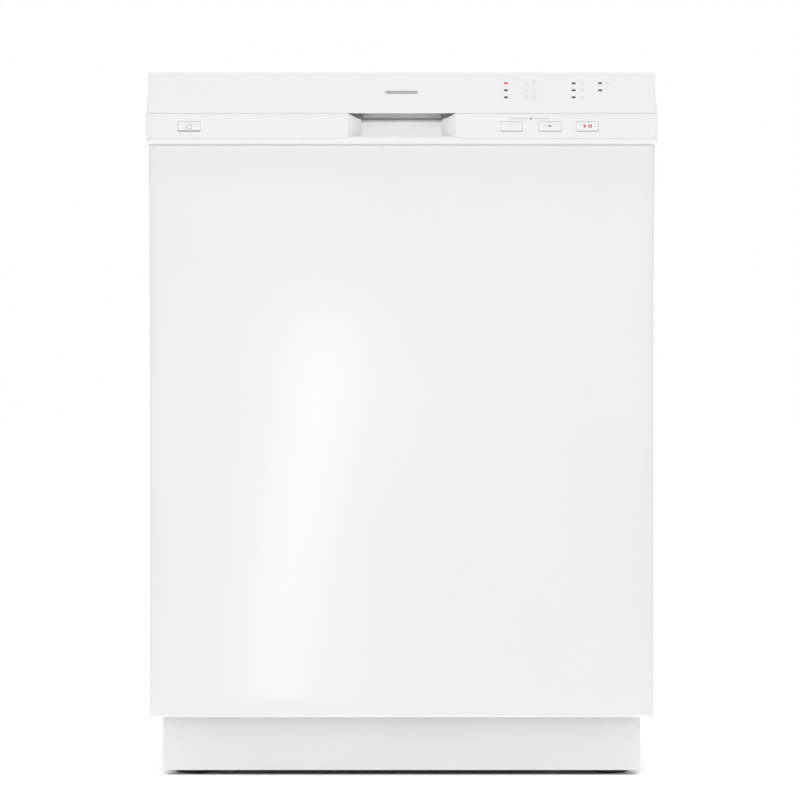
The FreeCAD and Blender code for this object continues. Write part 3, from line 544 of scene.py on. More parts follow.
def lip_lift(x):
    """The lip line stands a little higher under the hand grip and runs down at both sides."""
    share = clamped(GRIP_EDGE + 16 - abs(x), 22.0)
    return LIP_RISE * share * share * (3 - 2 * share)


@shape(suffix="_front")
def lower_console(mesh, low, high):
    """The strip with the buttons and the hand grip; a fine groove marks the lip along its lower edge."""
    rear, low, high = high.y, low.z, high.z
    caps = [key_middle(name) for name in KEYS]
    cuts_x = [x + s * KEY_WIDE / 2 for x, z in caps for s in (-1, 1)]
    cuts_x += [-GRIP_EDGE - 0.1, GRIP_EDGE + 0.1] + steps_between(-100, 100, 41)
    cuts_z = [caps[0][1] - KEY_TALL / 2 - 0.2, caps[0][1] + KEY_TALL / 2]
    groove = [LIP_HEIGHT + d for d in (-1.1, -0.5, -0.25, 0.25, 0.5, 1.1)]

    def place(x, z):
        share = max(0.0, 1 - abs(z - LIP_HEIGHT) / 4.0) if z < LIP_HEIGHT + 4 else 0.0
        lifted = z + lip_lift(x) * min(1.0, share * 1.6)
        corner = drop(z - low, 3.5)
        x = stretched(x, corner)
        edge = HALF - corner - abs(x)
        y = FACE + max(drop(edge, 1.8), drop(z - low, 4.2), drop(high - z, 0.7))
        if abs(z - LIP_HEIGHT) < 0.3:
            y += 0.6
        return x, y, lifted

    def hole(x, z):
        if abs(x) < GRIP_EDGE and z > LIP_HEIGHT + 0.26:
            return True
        return any(abs(x - middle) < KEY_WIDE / 2 and cuts_z[0] < z < cuts_z[1] for middle, _ in caps)

    xs = edge_stations(-HALF, HALF, 3.0, cuts_x + steps_between(-290, 290, 30))
    zs = sorted(set(edge_stations(low, high, 4.2, cuts_z + groove) + [high - 0.1, high - 0.3, high - 0.7]))
    faced_panel(mesh, xs, zs, place, hole, lambda p: rear, 2.6)
    for left, right in ((GRIP_EDGE + 0.3, HALF - 1.2), (1.2 - HALF, -GRIP_EDGE - 0.3)):
        block(mesh, (left, FACE + 1.05, high - 0.4), (right, FACE + 3.0, high + 1.0))
    for x, z in caps:
        for a, b in ((1, 1), (-1, 1), (-1, -1), (1, -1)):
            tip = Vector((x + a * KEY_WIDE / 2, cuts_z[(b + 1) // 2]))
            arc = [tip - KEY_CORNER * Vector((a * (1 - math.cos(t)), b * (1 - math.sin(t))))
                   for t in steps_between(0, math.pi / 2, 6)]
            prism(mesh, [tuple(p) for p in [tip] + arc], FACE, FACE + 2.0, "y")
    block(mesh, (4.0 - HALF, PANEL_LOW.y + 1.2, PANEL_HIGH.z - 2.0),
          (HALF - 4.0, PANEL_LOW.y + 4.0, low + 0.2))


def handle_pocket():
    """The recessed grip: a scooped face, two flared ends and, behind the seam, the hollow for the fingers."""
    inner, step_in, ledge = GRIP_EDGE - 15.0, 12.0, 776.0
    seam, rear, roof = FASCIA_LOW.z - 0.4, -253.0, 800.0
    curve = [(0.0, 0.8), (0.008, 3.0), (0.02, 7.0), (0.045, 10.2), (0.09, 12.2), (0.2, 14.3), (0.4, 17.5),
             (0.6, 20.3), (0.8, 22.6), (0.93, 23.8), (0.985, 24.4), (1.0, 25.5)]

    def depth(share):
        for (a, p), (b, r) in zip(curve, curve[1:]):
            if share <= b:
                return p + (r - p) * (share - a) / (b - a)
        return curve[-1][1]

    def place(x, share, skin):
        flare = clamped(abs(x) - inner, GRIP_EDGE - inner)
        low = LIP_HEIGHT + lip_lift(x) - 0.25
        top = ledge + (seam - ledge) * flare ** 1.5
        back = depth(share)
        if abs(x) >= inner:
            back = min(back, 0.3 + (step_in - 0.3) * (1 - flare) ** 1.15)
        return x, FACE + back + 2.2 * skin, low + (top - low) * share - 0.4 * skin

    sides = steps_between(inner, GRIP_EDGE, 9)
    shares = sorted([a for a, b in curve] + [0.004, 0.014, 0.03, 0.07, 0.14, 0.3, 0.5, 0.7])
    mesh = bmesh.new()
    plate(mesh, [0.05 - inner] + steps_between(-inner + 0.1, inner - 0.1, 21) + [inner - 0.05], shares,
          place, 0, 1)
    # The scoop glows faintly, painted light in place of the shade in its recess.
    piece("handle_pocket_scoop", mesh, "door", "white_console", "handle_pocket", look="grip_white", sharp=50)
    mesh = bmesh.new()
    for xs in ([-x for x in reversed(sides)], sides):
        plate(mesh, xs, shares, place, 0, 1)
    for sign in (-1, 1):
        cheek = sorted((sign * (inner - 0.05), sign * (inner + 1.5)))
        prism(mesh, [(FACE + 11.5, LIP_HEIGHT + 2.4), (FACE + 13.5, LIP_HEIGHT + 5.0),
                     (FACE + 24, ledge - 0.8), (FACE + 11.5, ledge - 0.8)], cheek[0], cheek[1])
    piece("handle_pocket_flares", mesh, "door", "white_console", "handle_pocket", sharp=50)

    wide = GRIP_EDGE - 0.4
    mesh = bmesh.new()
    prism(mesh, [(-inner, FACE + 23.5), (-wide, FACE + 2.6), (-wide, rear), (wide, rear), (wide, FACE + 2.6),
                 (inner, FACE + 23.5)], ledge - 2.4, ledge - 0.6, "z")
    rounded_block(mesh, (-wide - 2.8, rear, ledge - 3), (wide + 2.8, rear + 2.8, roof + 3), 0.6)
    rounded_block(mesh, (-wide - 2.8, FACE + 5.4, roof), (wide + 2.8, rear + 2.8, roof + 3), 0.6)
    pair_of_blocks(mesh, wide, wide + 2.8, (FACE + 3.2, rear + 2.8), (ledge - 3, roof + 3), 0.4)
    # The hollow's walls are grey as painted shade of the finger hollow.
    piece("handle_hollow_walls", mesh, "door", "white_console", look="lever_grey")


# The lever is grey as painted shade of the slot behind the seam.
@shape(suffix="_plate", look="lever_grey")
def latch_lever(mesh, low, high):
    """The lever behind the seam that the fingers pull: a bent plate with a curled lower edge on its pin."""
    section = [(low.y + 0.2, low.z), (low.y + 1.6, low.z), (low.y + 2.2, low.z + 1.2), (high.y - 0.4, 795),
               (high.y - 0.2, 798.6), (low.y + 0.4, high.z - 0.6), (low.y, 795), (low.y, low.z + 0.8)]
    prism(mesh, section, low.x + 1.2, high.x - 1.2, "x", 0.25)
    lathe(mesh, [(0, low.x), (1.0, low.x), (1.2, low.x + 0.4), (1.2, high.x - 0.4), (1.0, high.x),
                 (0, high.x)], (0, -256.1, 797), "x", 16)


def rounded_outline(half_wide, half_tall, radius, steps=5):
    """A rectangle with rounded corners, centred, as (across, up) points."""
    points = []
    for sign_a, sign_b, start in ((1, 1, 0), (-1, 1, 90), (-1, -1, 180), (1, -1, 270)):
        for k in range(steps + 1):
            angle = math.radians(start + 90 * k / steps)
            points.append((sign_a * (half_wide - radius) + radius * math.cos(angle),
                           sign_b * (half_tall - radius) + radius * math.sin(angle)))
    return points


@shape(*KEYS, suffix="_key")
def key(mesh, low, high):
    """A key with softly rounded corners and edges; the power key's gap below is wider."""
    x, z = (low.x + high.x) / 2, (low.z + high.z) / 2
    below = 1.0 if x < 0 else 0.55
    half = (KEY_WIDE / 2 - 0.07, (KEY_TALL + 0.2 - below - 0.12) / 2)
    z += (below - 0.12) / 2 - 0.1
    rings = []
    for inset, back in ((0.0, 6.0), (0.0, 0.75), (0.08, 0.3), (0.25, 0.08), (0.55, 0.0),
                        (half[1] * 0.9, 0.0)):
        wide, tall = half[0] - inset, half[1] - inset
        outline = rounded_outline(wide, tall, min(KEY_CORNER, tall * 0.95))
        rings.append([mesh.verts.new((x + a, FACE + back, z + b)) for a, b in outline])
    skin_rings(mesh, rings, caps=False)
    mesh.faces.new(rings[-1])


# --------------------- printed marks

def bar(mesh, x, z, wide, tall, front=PRINT, radius=0.12):
    """A flat printed bar centred on (x, z)."""
    corner = min(radius, wide / 2.1, tall / 2.1)
    outline = [(x + a, z + b) for a, b in rounded_outline(wide / 2, tall / 2, corner, 2)]
    prism(mesh, outline, front, front + 0.1, "y")


def ring_mark(mesh, x, z, radius, thick, start, end, front=PRINT):
    """A flat printed arc between two angles in degrees."""
    angles = [math.radians(a) for a in steps_between(start, end, 24)]
    turns = [(radius, a) for a in angles] + [(radius - thick, a) for a in reversed(angles)]
    points = [(x + r * math.cos(a), z + r * math.sin(a)) for r, a in turns]
    prism(mesh, points, front, front + 0.1, "y")


def mark(look, key=None):
    """Marks the function that draws a printed mark: on a key, around its middle, or else on the console."""
    def run(draw):
        mesh = bmesh.new()
        draw(mesh, *(key_middle(key) if key else ()))
        piece("print_" + draw.__name__, mesh, NODE_BODY[key] if key else "door",
              "white_keys" if key else "white_console", look="print_" + look)
        return draw
    return run


@mark("grey", "button_power")
def power_symbol(mesh, x, z):
    ring_mark(mesh, x, z - 0.2, 3.2, 0.6, 120, 420)
    bar(mesh, x, z + 2.2, 0.6, 2.9)


@mark("faint", "button_program")
def program_lines(mesh, x, z):
    for k in (-1, 0, 1):
        bar(mesh, x, z + 1.5 * k, 2.6, 0.5)


@mark("grey")
def lock_bracket(mesh):
    """The line that joins the second and the third key, with a small lock in its middle."""
    left, height = key_middle("button_program")
    right = key_middle("button_option")[0]
    middle, height = (left + right) / 2, height + KEY_TALL / 2 + 3.4
    for sign, end in ((-1, left), (1, right)):
        inner = middle + sign * 3.6
        bar(mesh, (end + inner) / 2, height, abs(end - inner), 0.32)
        bar(mesh, end, height - 0.8, 0.32, 1.7)
    ring_mark(mesh, middle, height + 0.5, 1.15, 0.35, 0, 180)
    bar(mesh, middle, height - 0.4, 2.9, 2.0)


@mark("dark", "button_option")
def option_bar(mesh, x, z):
    bar(mesh, x - 0.3, z + 0.3, 3.8, 1.3, radius=0.5)


@mark("red", "button_start")
def start_pause(mesh, x, z):
    prism(mesh, [(x - 4.2, z + 2.2), (x - 4.2, z - 1.6), (x - 0.9, z + 0.3)], PRINT, PRINT + 0.1, "y")
    for k in (0, 1):
        bar(mesh, x + 2.1 + 2.3 * k, z + 0.3, 1.35, 3.8)


@mark("grey")
def plain_badge(mesh):
    height = FASCIA_HIGH.z - 23.4
    bar(mesh, 0.0, height, 38.0, 3.6, fascia_face(height) - 0.16, 1.7)


@mark("faint")
def programme_pictures(mesh):
    """Generic strokes beside the indicators: a dish and lines on the left, a small cross on the right."""
    lenses = lens_places()
    for row in range(3):
        height = lenses[row][1]
        front = fascia_face(height) - 0.14
        left, right = lenses[row][0] + 24.0, lenses[3 + row][0] + 10.0
        ring_mark(mesh, left, height, 2.3, 0.4, 190, 350 + 60 * row, front)
        strokes = [(left, 0.2, 4.8, 0.4), (left + 9.2, 1.8, 4.4, 0.4), (left + 9.2, -1.8, 4.4, 0.4),
                   (right, 0, 3.6, 0.5), (right + row, 0, 0.5, 2.6)]
        strokes += [(left + 7.6 + 1.6 * k, 0, 0.4, 3.2) for k in range(row + 1)]
        for x, rise, wide, tall in strokes:
            bar(mesh, x, height + rise, wide, tall, front)
    x, height = lenses[6]
    for k in range(3):
        bar(mesh, x + 7.0 + 1.6 * k, height, 0.8, 2.0, fascia_face(height) - 0.14)


# --------------------- door

@shape(suffix="_front")
def outer_door_panel(mesh, low, high):
    """The enamelled outer panel, its edges folded back, flaring slightly under the console."""
    def place(x, z):
        flare = 1.4 * clamped(z - 575, 150.0) ** 1.5
        x = x * (high.x + flare) / high.x
        edge = high.x + flare - abs(x)
        return x, low.y + max(drop(edge, 3.0), drop(z - low.z, 3.0), drop(high.z - z, 0.8)), z

    def back(point):
        if point.z > low.z + 25:
            return high.y
        return min(high.y, -256 + 1.78 * (point.z - low.z))

    xs = edge_stations(low.x, high.x, 3.0, steps_between(-280, 280, 15))
    zs = edge_stations(low.z, high.z, 3.0, steps_between(100, 730, 22))
    faced_panel(mesh, xs, zs, place, lambda x, z: False, back, 0.0)
    for sign in (-1, 1):
        screw_heads(mesh, [(sign * (high.x - 8), high.y - 3.0, z) for z in (160, 360, 560)], "x", sign, 3.0)


@shape(sharp=40)
def inner_door_liner(mesh, low, high):
    """The pressed steel inside of the door, with a frame bead and the openings for strike and dispenser."""
    windows = ((-15.0, 804.0, 15.0, 818.0), (-80.0, 415.0, 100.0, 525.0))
    frame_x, frame_low, frame_high = high.x - 42.0, low.z + 52.0, high.z - 46.0
    beads = (220.0, 300.0, 620.0, 700.0)
    reach = 12.0

    def pressed(x, z):
        inward = max(abs(x) - frame_x, frame_low - z, z - frame_high)
        depth = bead(inward, 7.0, 3.2)
        if inward < -14:
            fade = clamped(frame_x - 40 - abs(x), 20.0)
            depth = max(depth, *(fade * bead(z - b, 8.0, 2.4) for b in beads))
        return depth + 0.9 * drop(high.x - abs(x), 3.0) + drop(high.z - z, 2.0)

    def place(x, z, y):
        y -= pressed(x, z)
        dx, dz = abs(x) - (high.x - reach), max(z - (high.z - reach), low.z + reach - z)
        if dx > 0 and dz > 0 and math.hypot(dx, dz) > reach:
            scale = reach / math.hypot(dx, dz)
            x = math.copysign(high.x - reach + dx * scale, x)
            z = high.z - reach + dz * scale if z > 400 else low.z + reach - dz * scale
        return x, y, z

    edges_x = [x for left, _, right, _ in windows for x in (left, right)] + around(7, frame_x, -frame_x)
    edges_z = [z for _, foot, _, top in windows for z in (foot, top)] + around(7, frame_low, frame_high)
    plate(mesh, stations(low.x, high.x, 14, edges_x, (1, 3)),
          stations(low.z, high.z, 14, edges_z + around(8, *beads), (3,)), place, high.y, low.y,
          lambda x, z: any(left < x < right and foot < z < top for left, foot, right, top in windows))


@shape("top_insulation_mat", "door_insulation")
def felt(mesh, low, high):
    """A bitumen felt mat, rounded at its edges and a little uneven."""
    axis = min(range(3), key=lambda k: high[k] - low[k])
    first, second = (k for k in range(3) if k != axis)
    thick = high[axis] - low[axis]

    def place(u, v, side):
        edge = min(u - low[first], high[first] - u, v - low[second], high[second] - v)
        sway = 0.06 * thick * (math.sin(u * 0.11 + 2) * math.sin(v * 0.083) + math.sin(u * 0.031 + v * 0.047))
        reach = max(0.0, 0.5 * thick - 0.5 * drop(edge, 0.6 * thick) - 0.13 * thick + sway)
        point = [0.0, 0.0, 0.0]
        point[axis] = (low[axis] + high[axis]) / 2 + side * reach
        point[first], point[second] = u, v
        return point

    plate(mesh, *(stations(low[k], high[k], 12, ends=(1, 3)) for k in (first, second)), place, -1, 1)


@softened(1.5, 8.0)
def detergent_dispenser(mesh, low, high):
    front = -213.6
    for z in (431.5, 508.5):
        rounded_block(mesh, (-78, front - 0.6, z - 2.5), (66, front + 1.4, z + 2.5), 0.5)
    lathe(mesh, [(16, -214.0), (16, -212.6), (14.4, -212.2), (13.4, -213.4), (0, -213.4)], (82, 0, 470),
          "y", 40)
    rounded_block(mesh, (71, -213.8, 468), (93, -212.2, 472), 0.6)
    for z in (423, 517):
        rounded_block(mesh, (-76, front - 0.6, z - 1.2), (96, front + 0.6, z + 1.2), 0.5)


@shape()
def detergent_lid(mesh, low, high):
    """A sliding lid with a raised field and three finger ridges."""
    middle = ((low.x + high.x) / 2, (low.z + high.z) / 2)
    half = ((high.x - low.x) / 2, (high.z - low.z) / 2)
    outline = [(middle[0] + a, middle[1] + b) for a, b in rounded_outline(half[0], half[1], 5)]
    prism(mesh, outline, low.y, high.y - 0.5, "y", 0.25)
    for k in range(3):
        rounded_block(mesh, (high.x - 20 + 5 * k, high.y - 0.7, middle[1] - 16),
                      (high.x - 17.6 + 5 * k, high.y, middle[1] + 16), 0.3)
    rounded_block(mesh, (low.x + 4, high.y - 0.7, middle[1] - 20),
                  (low.x + 40, high.y - 0.2, middle[1] + 20), 0.2)


@shape()
def control_board(mesh, low, high):
    """Two circuit cards with their chips, capacitors, connectors and solder joints."""
    card_x, face = 95.0, -268.4
    rounded_block(mesh, (card_x, -270, 752), (high.x, face, 824), 0.3)
    rounded_block(mesh, (low.x, -270, 752), (-231, face, 780), 0.3)
    for x, z, wide, tall in ((110, 790, 30, 20), (160, 760, 24, 24), (200, 795, 40, 14), (230, 757, 22, 18)):
        rounded_block(mesh, (x + 1, face, z + 1), (x + wide - 1, face + 4.4, z + tall - 1), 0.5)
        for k in range(int(wide / 2.6)):
            for end in (z - 0.8, z + tall - 0.8):
                block(mesh, (x + 1 + 2.6 * k, face, end), (x + 1.9 + 2.6 * k, face + 0.8, end + 1.6))
    for x in (148, 190, 252):
        lathe(mesh, [(4, face), (4.2, face + 1), (4.2, face + 6), (3.6, face + 6.4), (0, face + 6.2)],
              (x, 0, 815), "y", 20)
    for x in (-258, -244):
        lathe(mesh, [(3, face), (3, face + 4), (2.4, face + 4.6), (0, face + 4.4)], (x, 0, 766), "y", 18)


# --------------------- cabinet

def arch(half, low, high, radius):
    """An upside-down U in the XZ plane: (point, outward direction) pairs."""
    corners = [(-half, 0, low), (-half, 0, high), (half, 0, high), (half, 0, low)]
    path = bend(corners, radius, 6)
    dense = []
    for a, b in zip(path, path[1:]):
        count = max(1, int((b - a).length / 24))
        dense += [a.lerp(b, k / count) for k in range(count)]
    dense.append(path[-1])
    result = []
    for k, point in enumerate(dense):
        along = (dense[min(k + 1, len(dense) - 1)] - dense[max(k - 1, 0)]).normalized()
        result.append((point, Vector((-along.z, 0, along.x))))
    return result


@shape(sharp=40)
def tub_wrap(mesh, low, high):
    """The stainless tub: one bent sheet with pressed beads, its front flange and the back wall."""
    half, ceiling, floor_z, front, rear = 278.0, 800.0, 149.0, low.y, high.y - 1.0
    path, outer = arch(half, floor_z, ceiling, 20), arch(high.x, low.z, high.z, 8)
    beads = (-150.0, -40.0, 70.0, 180.0)
    last, outer_last = len(path) - 1, len(outer) - 1

    def wrap(k, y, offset):
        point, out = path[k]
        fade = clamped(abs(out.x) * min(point.z - 190, 760 - point.z), 20.0) if abs(out.x) > 0.9 else 0.0
        shift = offset + fade * max(bead(y - b, 7.0, 1.1) for b in beads)
        return point.x + out.x * shift, y, point.z + out.z * shift

    def flange(k, share, y):
        place = k / last * outer_last
        edge = outer[int(place)][0].lerp(outer[min(int(place) + 1, outer_last)][0], place % 1.0)
        side = path[k][0].lerp(edge, share)
        return side.x, y + 0.4 * drop(1 - share, 0.2), side.z

    def back(x, z, y):
        return x, y + bead(max(abs(x) - 190, abs(z - 480) - 230), 9, 0.9) * 0.9, z

    turns = list(range(last + 1))
    plate(mesh, turns, stations(front, rear, 20, around(7, *beads)), wrap, 0.0, 1.0)
    plate(mesh, turns, [0.0, 0.3, 0.7, 0.9, 1.0], flange, front, front + 1.0)
    plate(mesh, stations(-half - 1, half + 1, 26, around(9, 190, -190)),
          stations(floor_z, ceiling + 1, 26, around(9, 710, 250)), back, rear, rear + 0.1)


@shape()
def tub_floor(mesh, low, high):
    """The floor of the tub, pressed down towards the filter well."""
    well_y, well = -70.0, 60.0

    def place(x, y, shift):
        away = max(abs(x), abs(y - well_y)) - well
        return x, y, high.z - shift - 0.7 * max(0.0, 1 - away / 60.0) - bead(away - 95, 8, 0.25)

    plate(mesh, stations(low.x, high.x, 20, [-well, well] + around(8, 155, -155)),
          stations(low.y, high.y, 20, [well_y - well, well_y + well] + around(8, well_y + 155)), place, 0.0,
          0.3, lambda x, y: abs(x) < well and abs(y - well_y) < well)


@shape(sharp=50)
def door_gasket(mesh, low, high):
    """The door seal: a bulb with a lip, bent around the top, and the lower sealing strip."""
    path = arch(284.0, 150.0, 803.6, 10)
    profile = [(-3.2, 0.0), (3.2, 0.0), (3.4, -1.2), (2.6, -1.8), (3.3, -3.4), (2.4, -5.2), (0.6, -6.3),
               (-1.4, -5.8), (-2.8, -4.2), (-2.4, -2.6), (-4.4, -3.6), (-4.6, -3.0), (-2.6, -1.4)]
    skin_rings(mesh, [[mesh.verts.new((p.x + out.x * a, high.y + b, p.z + out.z * a)) for a, b in profile]
                      for p, out in path])
    foot = [(high.y, 140.2), (high.y - 3.6, 141.4), (high.y - 4.3, 144.5), (high.y - 2.4, 146.2),
            (high.y - 3.2, 149.0), (high.y - 0.8, 149.6), (high.y, 149.6)]
    prism(mesh, foot, low.x, high.x)


@shape("left_side_panel", "right_side_panel")
def side_panel(mesh, low, high):
    """A zinc coated side panel with three pressed beads, folded edges and rivets."""
    sign, outer = (1, high.x) if low.x > 0 else (-1, low.x)
    beads = (236.0, 416.0, 596.0)

    def place(y, z, shift):
        fade = clamped(min(y + 160, 230 - y), 16.0)
        edge = min(z - low.z, high.z - z, y - low.y, high.y - y)
        inward = shift + fade * max(bead(z - b, 8, 1.0) for b in beads) + drop(edge, 1.2) * 0.5
        return outer - sign * inward, y, z

    plate(mesh, stations(low.y, high.y, 30, (-160, -144, 214, 230), (0.4, 1.2)),
          stations(low.z, high.z, 40, around(8, *beads), (0.4, 1.2)), place, 0.0, 0.7)
    inner = outer - sign * 0.8
    for reach, y0, y1, z0 in ((3.8, low.y, low.y + 0.8, 135), (14.2, high.y - 0.8, high.y, 150)):
        xs = sorted((inner, inner - sign * reach))
        rounded_block(mesh, (xs[0], y0, z0), (xs[1], y1, high.z - 0.5), 0.25, 2)
    for z in (180, 330, 480, 630, 780):
        lathe(mesh, [(3.2, 0), (2.8, 0.28 * sign), (1.6, 0.36 * sign), (0, 0.36 * sign)],
              (outer - sign * 0.4, high.y - 8, z), "x", 20)


@shape()
def rear_cover(mesh, low, high):
    beads = (306.0, 456.0, 606.0)

    def place(x, z, skin):
        y, lift = skin
        return x, y + lift * clamped(210 - abs(x), 14.0) * max(bead(z - b, 8, 1.0) for b in beads), z

    plate(mesh, stations(low.x, high.x, 30, (-210, -196, 196, 210)),
          stations(low.z, high.z, 36, around(8, *beads)), place, (low.y + 0.8, 1.1), (low.y, 1.0))
    screw_heads(mesh, [(sign * 288, low.y + 0.8, z) for sign in (-1, 1) for z in (170, 400, 630, 810)], "y",
                0.6)
    for k in range(9):
        rounded_block(mesh, (-60, low.y + 0.7, 690 + 9 * k), (60, low.y + 1.9, 693 + 9 * k), 0.5, 2)


@softened(1.2, 6.0)
def base_tray(mesh, low, high):
    """Stiffening ribs on the sides and the back of the tray."""
    for y in steps_between(low.y + 25, high.y - 25, 12):
        pair_of_blocks(mesh, high.x, high.x + 2.0, (y - 1.2, y + 1.2), (32, 92), 0.6)
    for x in steps_between(low.x + 30, high.x - 30, 13):
        rounded_block(mesh, (x - 1.2, high.y - 0.2, 40), (x + 1.2, high.y + 1.8, 140), 0.6)


@shape()
def plinth(mesh, low, high):
    """The kickboard: a folded sheet with a tiny locating notch in its upper edge."""
    notch_left, notch_right, notch_low = -107.2, -104.8, high.z - 2.4

    def place(x, z, shift):
        return x, low.y + shift + drop(min(high.x - abs(x), high.z - z, z - low.z), 1.4), z

    xs = edge_stations(low.x, high.x, 1.4, [notch_left, notch_right] + steps_between(-270, 270, 19), 4)
    zs = edge_stations(low.z, high.z, 1.4, [notch_low] + steps_between(14, 62, 6), 4)
    plate(mesh, xs, zs, place, 0.0, 1.6, lambda x, z: notch_left < x < notch_right and z > notch_low)
    pair_of_blocks(mesh, high.x - 2, high.x - 0.1, (low.y + 2.4, -190), (low.z + 0.4, high.z - 0.4), 0.6)
    pair_of_blocks(mesh, 140, 170, (low.y + 1.8, -200), (40, 52), 1.5)


@softened(0.4, 3.0)
def front_crossbar(mesh, low, high):
    for sign in (-1, 1):
        lathe(mesh, [(7, 828.0), (6.6, 828.0), (6.6, 827.6), (3.2, 827.6), (3.2, 828.0)],
              (sign * 240, -182, 0), "z", 28)


@shape(*sorted(node for node in frame["nodes"] if node.startswith("foot_")))
def foot(mesh, low, high):
    """A levelling foot: a ribbed pad, a hexagon for the spanner and a threaded stem."""
    pad = (high.x - low.x) / 2
    thread = threaded(2.0, 0.12)

    def wobble(angle, along):
        if 0.5 < along < 7.5:
            return 1.0 - 0.035 * (math.sin(angle * 16) > 0)
        if 7.5 <= along < 12:
            return 1.0 - 0.07 * (1 - abs(math.cos(angle * 3)))
        return thread(angle, along) if along > 12.6 else 1.0

    profile = [(0, 0), (pad - 3, 0), (pad, 1.6), (pad, 7), (pad - 7, 8.2), (pad - 9, 8.4), (pad - 9, 11.6),
               (5.0, 12.0)]
    profile += [(5.0, 12.6 + 0.5 * k) for k in range(150)] + [(4.2, high.z), (0, high.z)]
    lathe(mesh, profile, middle_of(low, high), "z", 48, wobble)


# --------------------- water side

@shape()
def fine_filter(mesh, low, high):
    """The fine filter plate, punched all over, around the filter cylinder."""
    middle = middle_of(low, high)
    pitch, hole_size = 4.8, 2.4
    count = int((high.x - low.x - 6) / pitch)
    start = -(count - 1) * pitch / 2

    def grid(centre, *ends):
        return sorted([*ends, *(centre + start + k * pitch + s * hole_size / 2 for k in range(count)
                                for s in (-1, 1))])

    def hole(x, y):
        x, y = x - middle.x, y - middle.y
        if math.hypot(x, y) < 47:
            return math.hypot(x, y) < 43
        offsets = [(v - start + pitch / 2) % pitch - pitch / 2 for v in (x, y)]
        return max(map(abs, offsets)) < hole_size / 2 and max(abs(x), abs(y)) < 56

    plate(mesh, grid(middle.x, low.x, high.x), grid(middle.y, low.y, high.y), lambda x, y, z: (x, y, z),
          high.z - 0.3, low.z + 0.4, hole)
    lathe(mesh, [(44, low.z), (47, low.z), (47, high.z), (44, high.z), (44, low.z)], middle, "z", 64)


def finger_bar(mesh, middle, half_foot, foot, top, left, right):
    """A tapered bar along X that two fingers turn."""
    sides = [(-half_foot, foot), (-2.6, top - 1), (-1.4, top)]
    outline = sides + [(-y, z) for y, z in reversed(sides)]
    prism(mesh, [(middle + y, z) for y, z in outline], left, right, "x", 0.8)


@shape()
def filter_cylinder(mesh, low, high):
    """The filter cylinder: a slotted cage, a rim with finger notches and a grip bar."""
    centre = middle_of(low, high)
    slots, radius = 36, 37.6
    rows = [(88 + 8.6 * k, 94 + 8.6 * k) for k in range(7)]

    def place(turn, z, r):
        angle = math.radians(turn)
        return centre.x + r * math.cos(angle), centre.y + r * math.sin(angle), z

    def hole(turn, z):
        return (turn * slots / 360) % 1.0 < 0.5 and any(foot < z < top for foot, top in rows)

    turns = [180 * k / slots for k in range(2 * slots + 1)]
    plate(mesh, turns, sorted([84, 149, *(z for row in rows for z in row)]), place, radius, radius - 1.4,
          hole, True)
    lathe(mesh, [(0, 78), (33, 78), (35, 79), (37.6, 84), (35, 85), (31, 81), (0, 81)], centre, "z", 72)
    lathe(mesh, [(30, 149), (38, 149), (40.6, 150), (40.6, 152), (39.8, 152.5), (28, 152.5), (24, 150.5),
                 (0, 150.5), (0, 149)], centre, "z", 72,
          lambda a, h: 1 - 0.02 * (h > 149.5) * (math.cos(12 * a) > 0.8))
    finger_bar(mesh, centre.y, 4.0, 150.5, high.z, low.x + 13, high.x - 13)


@shape()
def wash_and_drain_pumps(mesh, low, high):
    """The wash pump with its finned motor and the smaller drain pump."""
    profile = [(0, 0), (44, 0), (46, 2), (48, 6), (48, 40), (46, 42)]
    for k in range(12):
        at = 44 + 6.2 * k
        profile += [(38, at), (40, at + 0.6), (40, at + 3.0), (38, at + 3.6)]
    profile += [(34, 120), (32, 127), (14, 128), (12, 128), (0, 128)]
    lathe(mesh, profile, (40, 90, 84), "x", 56)
    drain = [(0, 0), (24, 0), (26, 2), (26, 14), (25, 15), (25, 34), (26, 35), (26, 50), (34, 54), (34, 72),
             (32, 75), (0, 76)]
    lathe(mesh, drain, (-140, 120, 70), "x", 48,
          lambda a, x: 1 - 0.05 * (14.5 < x < 34.5) * (math.sin(14 * a) > 0))
    for angle in (45, 135, 225, 315):
        y, z = 90 + 43 * math.cos(math.radians(angle)), 84 + 43 * math.sin(math.radians(angle))
        lathe(mesh, [(3.5, 0), (3.5, 42), (2.5, 43), (0, 43)], (41, y, z), "x", 16)


@shape()
def sump(mesh, low, high):
    """The sump under the filter, with ribs around its wall."""
    centre = middle_of(low, high)
    profile = [(0, 60), (50, 60), (58, 74), (58, 92), (56.6, 93), (56.6, 97), (58, 98), (58, 120),
               (56.6, 121), (56.6, 125), (58, 126), (58, 145), (57, 147.5), (54.6, 147.5), (54, 146.5),
               (54, 76), (48, 66), (0, 66)]
    lathe(mesh, profile, centre, "z", 72, lambda a, z: 1 - 0.008 * (math.cos(18 * a) > 0.6) * (74 < z < 146))


@softened(1.5, 8.0)
def water_softener(mesh, low, high):
    """The threaded neck for the salt cap."""
    lathe(mesh, [(28.2, 156), (29.8, 156.2)] + [(29.9, 156.6 + 0.4 * k) for k in range(15)] + [(28.2, 162.8)],
          (-212, -140, 0), "z", 60, threaded(2.4, 0.03))


@shape()
def salt_cap(mesh, low, high):
    centre = (-212, -140, 0)
    profile = [(30.4, 156.6), (33.4, 156.6), (34, 157.2), (34, 166.2), (33, 168.4), (31, 169.6), (27, 170),
               (26, 169.2), (12, 169.2), (11, 170), (0, 170)]
    lathe(mesh, profile, centre, "z", 80, lambda a, z: 1 - 0.03 * (157 < z < 166.8) * (math.cos(26 * a) > 0))
    finger_bar(mesh, centre[1], 3.5, 169, high.z, -238, -186)


